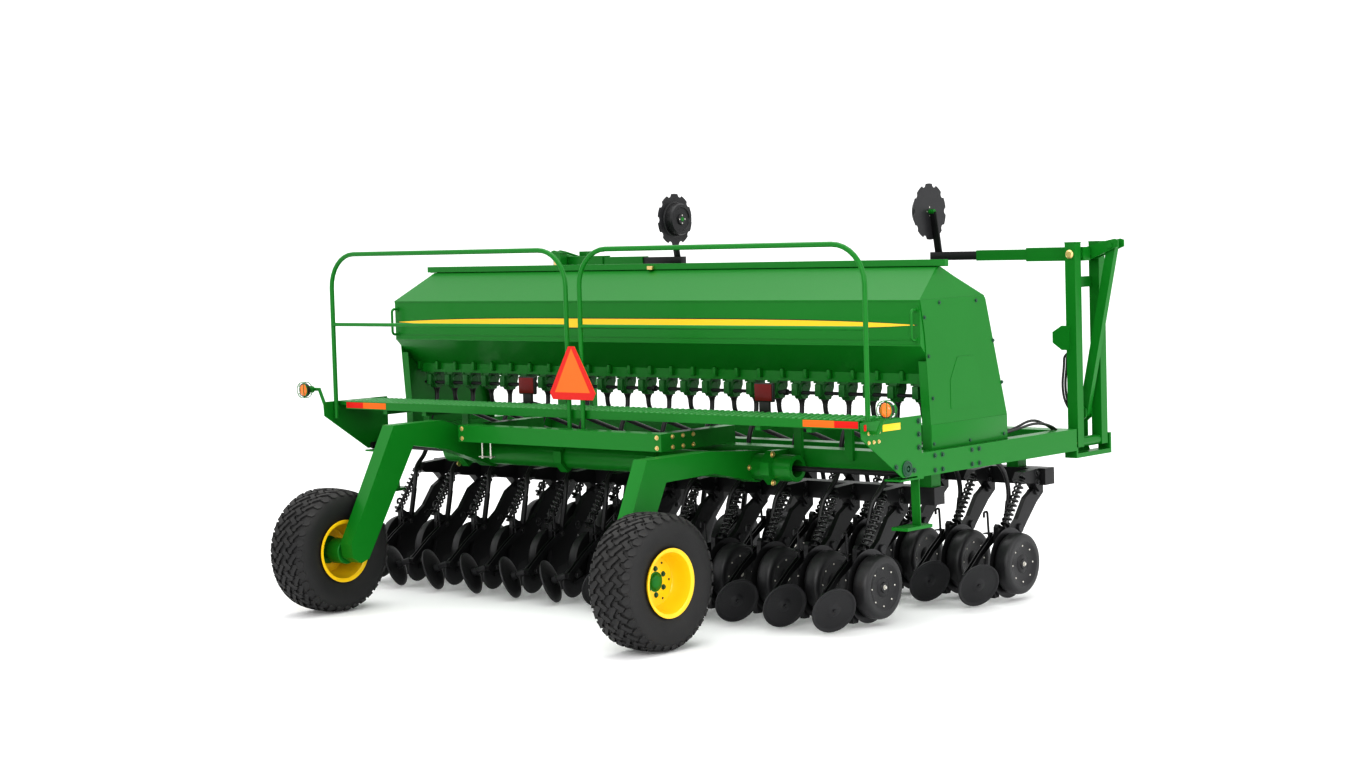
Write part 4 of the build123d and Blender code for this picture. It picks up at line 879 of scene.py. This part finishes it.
# %% Lamps
lamp_place = from_wall(2.592, -0.686, 1.396)
guard_radius, guard_half, wire_radius = 0.055, 0.024, 0.0026
lenses, rings, guards = [], [], []
for side in (-1, 1):
    seat = frame_of((0, -1, 0), (side * lamp_place.x, lamp_place.y, lamp_place.z))
    lens = turned(two_sided([(0.008, 0.045), (0.018, 0.038), (0.026, 0.022), (0.028, 0)]), 32)
    lenses.append(moved(lens, seat))
    rings.append(moved(turned(two_sided([(0.011, 0.049), (0.01, 0.043)]), 32), seat))
    for along in (-guard_half, guard_half):
        wire = [(along + wire_radius * cos(pi * k / 4), guard_radius + wire_radius * sin(pi * k / 4))
                for k in range(8)]
        guards.append(moved(turned(wire, 32), seat))
    for k in range(6):
        y, z = guard_radius * sin(pi / 3 * k), guard_radius * cos(pi / 3 * k)
        guards.append(moved(tube([(-guard_half, y, z), (guard_half, y, z)], 0.0024, resolution=1), seat))
    for y in (-0.02, 0.02):
        z = (guard_radius ** 2 - y ** 2) ** 0.5
        bar = tube([(0.026, y, -z), (0.029, y, -0.02), (0.029, y, 0.02), (0.026, y, z)], 0.002, resolution=1)
        guards.append(moved(bar, seat))
finished(lenses, "lamp_lenses", "amber_lens", replaced=("amber_lamps",), smooth=60)
finished(rings, "lamp_rings", "black_plastic")
finished(guards, "lamp_guards", green, smooth=60)
housings, red_lenses = [], []
for x in (-0.76, 1.33):
    housings.append(wall_block(x, 0.075, (-0.268, -0.242), (1.379, 1.499), 0.006))
    housings.append(wall_block(x, 0.04, (-0.265, -0.245), (1.313, 1.381), 0.002))
    for y in (-0.275, -0.2425):
        red_lenses.append(wall_block(x, 0.068, (y, y + 0.0075), (1.386, 1.492), 0.003))
finished(housings, "tail_lamp_housings", "black_plastic", replaced=("tail_lamps",))
finished(red_lenses, "tail_lamp_lenses", "red_lens")

# %% [markdown]
# Each opener gets the small parts that catch the light: bolts at its pivots, a boss round the closing
# wheel's spindle, a nut over the spring and the bent handle that sets the closing wheel's pressure.

# %% Opener hardware
def bolts(places, axis, size):
    """Bolt heads of one size that face along an axis."""
    return copies(bolt_head(size), [frame_of(axis, Vector(place)) for place in places])


outer_bolts = bolts([(0.023, 0.318, 0.5), (0.023, 0.318, 0.56)], (1, 0, 0), 0.03)
inner_bolts = bolts([(-0.047, 0.33, 0.43), (-0.047, 0.39, 0.45), (-0.047, 0.15, 0.21),
                     (-0.096, -0.062, 0.176), (-0.099, -0.324, -0.048)], (-1, 0, 0), 0.026)
rear_bolts = bolts([(-0.012, 0.325, bar_z) for bar_z in (0.475, 0.56)], (0, -1, 0.12), 0.024)
top_nut = bolts([spring_top - spring_way * 0.004], -spring_way, 0.03)
on_every_row(joined([*outer_bolts, *inner_bolts, *rear_bolts, *top_nut]), "opener_bolts", "disc_steel")
closer_back = closer_place - closer_axis * 0.118
spindle_boss = turned([(0, 0), (0, 0.019), (0.004, 0.022), (0.062, 0.022), (0.066, 0.028), (0.098, 0.028),
                       (0.102, 0.024), (0.104, 0)], 20)
on_every_row(moved(spindle_boss, frame_of(closer_axis, closer_back)), "closing_bosses", "black_casting")
handle_line = rounded([(-0.079, -0.11, 0.15), (-0.079, -0.125, 0.345), (-0.079, -0.165, 0.345),
                       (-0.079, -0.165, 0.31)], 0.014, 5)
handle = tube(handle_line, 0.0075)
handle_tab = block((-0.1, -0.15, 0.2), (-0.058, -0.09, 0.207), 0.002)
on_every_row(joined([handle, handle_tab]), "closing_handles", "black_paint", smooth=60)
boss = turned([(-0.052, 0), (-0.052, 0.022), (-0.047, 0.028), (-0.013, 0.03), (0, 0.03), (0.004, 0.026),
               (0.004, 0)], 20)
pivots = [slide((0, y, z)) for y, z in ((0.36, 0.44), (0.15, 0.21))]
on_every_row(joined(copies(boss, pivots)), "arm_bosses", "black_casting")

# %% [markdown]
# Under the box every meter gets its round fluted housing and a black funnel below it. One six-sided
# shaft drives them all. The box's rear face is hemmed, tabs stand along the hopper's underside, and a
# thin plate lies on the foot of each end panel.

# %% Meters and box details
housing = turned(two_sided([(0.024, 0.052), (0.03, 0.042), (0.036, 0.034), (0.036, 0)]), 20)
housing = moved(housing, slide(from_wall(0, 0.229, 1.424)))
cover = wall_block(0, 0.024, (0.158, 0.19), (1.385, 1.465), 0.006)
flute = wall_block(0, 0.018, (0.272, 0.302), (1.378, 1.47), 0.005)
ears = [wall_block(x, 0.009, (0.176, 0.2), (1.468, 1.482), 0.002) for x in (-0.036, 0.036)]
row_slides = [slide((x, 0, 0)) for x, _ in openers]
finished(copies(joined([housing, cover, flute, *ears]), row_slides), "meter_housings", "meter_casting")
funnel = turned([(0, 0), (0, 0.026), (0.006, 0.027), (0.012, 0.021), (0.036, 0.0155), (0.045, 0.0165),
                 (0.045, 0)], 20)
funnels = copies(funnel, [frame_of((0, 0, -1), from_wall(x, 0.237, 1.362)) for x, _ in openers])
finished(funnels, "outlet_funnels", "black_plastic", replaced=("seed_outlets",))
shaft = turned(two_sided([(2.27, 0.011), (2.27, 0)]), 6)
collar = turned(two_sided([(0.012, 0.02), (0.012, 0)]), 16)
collars = copies(collar, [slide((x, 0, 0)) for x in (-2.2, -1.14, 0, 1.14, 2.2)])
meter_shaft = moved(joined([shaft, *collars]), slide(from_wall(0, 0.2, 1.404)))
finished(meter_shaft, "meter_shaft", "black_paint", smooth=20)
hems = [wall_block(0, 2.352, (-0.005, 0.003), (1.724, 1.736), 0.002),
        wall_block(0, 2.352, (-0.003, 0.001), (1.76, 1.766), 0.001),
        wall_block(0, 2.35, (-0.003, 0.001), (1.999, 2.009), 0.001)]
hems += [wall_block(k * row_pitch, 0.012, (0.15, 0.181), (1.5, 1.56), 0.002)
         for k in range(-row_count // 2, row_count // 2 + 1)]
hems += [side_block(side, (2.3595, 2.362), (wall_y + 0.086, wall_y + 0.922), (1.086, 1.238), 0.0008)
         for side in (-1, 1)]
finished(hems, "box_hems", green)
latch = wall_block(-0.101, 0.024, (0.292, 0.314), (2.205, 2.232), 0.004)
finished(latch, "lid_latch", "brass_bolt", "lid")

# %% [markdown]
# The row markers carry plated pins and two oil hoses on each mast, a black tip with a slanting strut on
# each arm and four bolts on both sides of each disc's drum. Each rides on the body that it is fixed to.

# %% Marker hardware
for side, name in sides:
    pin_cap = turned([(0, 0), (0, 0.03), (0.006, 0.03), (0.009, 0.026), (0.014, 0.02), (0.014, 0)], 24)
    mast_pins = copies(pin_cap, [frame_of((0, -1, 0), from_wall(side * 2.352, 1.722, z))
                                 for z in (2.238, 0.985)])
    finished(mast_pins, "mast_pins_" + name, "brass_bolt", "marker_mast_" + name)
    mast_hoses = []
    for shift in (0, 0.022):
        x = side * (2.3 - shift)
        line = [(side * 2.313, 1.76, 1.2), (x, 1.75, 1.24), (x - side * 0.02, 1.745, 1.36), (x, 1.745, 1.5),
                (x, 1.745, 1.57), (side * 2.313, 1.76, 1.585)]
        mast_hoses.append(tube([from_wall(*point) for point in line], 0.008, hanging=True))
    finished(mast_hoses, "mast_hoses_" + name, "hose_rubber", "marker_mast_" + name, smooth=60)
    tip = wall_block(1.344, 0.195, (1.8335, 1.8905), (2.2095, 2.2665), 0.003)
    strut = block((-0.0262, -0.0082, 0), (0.0262, 0.0082, 0.3167), 0.002)
    strut = moved(strut, slide(from_wall(1.207, 1.862, 2.238))
                  @ Matrix.Rotation(atan2(0.06, 0.311), 4, "X"))
    tip = moved(joined([tip, strut]), Matrix.Diagonal((side, 1, 1, 1)))
    finished(tip, "arm_tip_" + name, "black_paint", "marker_arm_" + name)
    disc_low, disc_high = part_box("marker_disc_" + name)
    middle = (disc_low + disc_high) / 2
    for way in (-1, 1):
        face_x = disc_high.x if way > 0 else disc_low.x
        studs = joined(ring_of(bolt_head(0.012), 4, 0.03, 0))
        studs = moved(studs, frame_of((way, 0, 0), (face_x - way * 0.006, middle.y, middle.z)))
        finished(studs, f"disc_studs_{name}_{'outer' if way * side > 0 else 'inner'}", "zinc_bolt",
                 "marker_disc_" + name)

# %% [markdown]
# The rest are bolts, bearings, clips, oil hoses and reflectors on the frame: on the side plates, the rear
# beam, the shaft bearings and the end panels. The bolts of the wheel arms ride on the lift.

# %% Frame hardware
def side_bolts(side, x, spots, size):
    """Bolts that face outwards on one side, at spots given by their y from the wall and their height."""
    return bolts([from_wall(side * x, y, z) for y, z in spots], (side, 0, 0), size)


def grid(ys, heights):
    """Spots in rows and columns."""
    return [(y, z) for y in ys for z in heights]


frame_bolts, bearing_bolts, arm_bolts = [], [], []
for side in (-1, 1):
    frame_bolts += side_bolts(side, 2.4, ((-0.105, 1.12), (-0.105, 1.2), (-0.105, 1.28), (-0.16, 0.985),
                                          (-0.345, 1.02)), 0.022)
    bearing_bolts += side_bolts(side, 2.4, grid((-0.61, -0.56, -0.51), (1.19, 1.245)), 0.016)
    frame_bolts += side_bolts(side, 2.36, (
        (0.11, 1.12), (0.5, 1.11), (0.88, 1.12), (0.11, 1.4), (0.075, 1.66), (0.04, 1.9), (0.2, 1.985),
        (0.6, 1.98), (0.78, 1.72), (0.87, 1.45)), 0.016)
    frame_bolts += side_bolts(side, 2.4, grid((0.06, 0.14, 0.46, 0.54), (0.965, 1.055)), 0.02)
    arm_bolts += side_bolts(side, 1.24, ((-0.317, 0.966), (-0.147, 0.966)), 0.024)
    bearing_bolts += side_bolts(side, 1.415, ((-0.3, 1.055), (-0.3, 0.877)), 0.026)
beam_low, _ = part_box("rear_beam")
plate_heights = (1.106, 1.172)
bearing_bolts += side_bolts(1, 0.85, grid((-0.6, -0.5, -0.4), plate_heights), 0.02)
bearing_bolts += bolts([(x, beam_low.y, z) for x, z in grid((-0.95, 0.815), plate_heights)], (0, -1, 0), 0.02)
finished(frame_bolts, "frame_bolts", "dark_green")
finished(bearing_bolts, "bearing_bolts", "brass_bolt")
finished(arm_bolts, "wheel_arm_bolts", "brass_bolt", "wheel_lift")
plate_bearings = []
for side in (-1, 1):
    bearing = turned([(0, 0.02), (0, 0.05), (0.007, 0.05), (0.009, 0.044), (0.006, 0.038), (0.012, 0.03),
                      (0.012, 0.02)], 32)
    plate_bearings.append(moved(bearing, frame_of((side, 0, 0), from_wall(side * 2.3995, -0.232, 1.0))))
    plate_bearings += side_bolts(side, 2.3995, ((-0.232, 1.0),), 0.02)
finished(plate_bearings, "plate_bearings", "dark_green")
clip_y = beam_low.y + 0.085
clips = [block((-0.87, clip_y - 0.015, 0.976), (-0.74, clip_y + 0.015, 0.984), 0.002)]
for x in (-0.845, -0.765):
    clips.append(tube([(x, clip_y, 0.972), (x, clip_y, beam_low.z + 0.004)], 0.0075, resolution=3))
    clips += bolts([(x, clip_y, 0.976)], (0, 0, -1), 0.016)
finished(clips, "beam_clips", "zinc_bolt", smooth=60)
oil_hoses = []
for side in (-1, 1):
    for shift in (0, 0.026):
        line = ((2.335, 0.925, 1.115), (2.335, 1.08, 1.13), (2.33, 1.3, 1.155 + shift), (2.32, 1.5, 1.12),
                (2.3, 1.62, 1.07), (2.29, 1.689, 1.02))
        line = [from_wall(side * (x - shift), y, z) for x, y, z in line]
        oil_hoses.append(tube(line, 0.0085, hanging=True))
finished(oil_hoses, "oil_hoses", "hose_rubber", smooth=60)
for name, along, heights, tint, slot in (
        ("side_reflectors", (wall_y - 0.47, wall_y - 0.29), (1.244, 1.286), "stripe_yellow", green),
        ("rear_reflectors", (wall_y - 0.655, wall_y - 0.63), (1.262, 1.3), "sign_red", "red_lens")):
    reflectors = [side_block(side, (2.3995, 2.4012), along, heights, 0.0005) for side in (-1, 1)]
    finished(reflectors, name, tint)
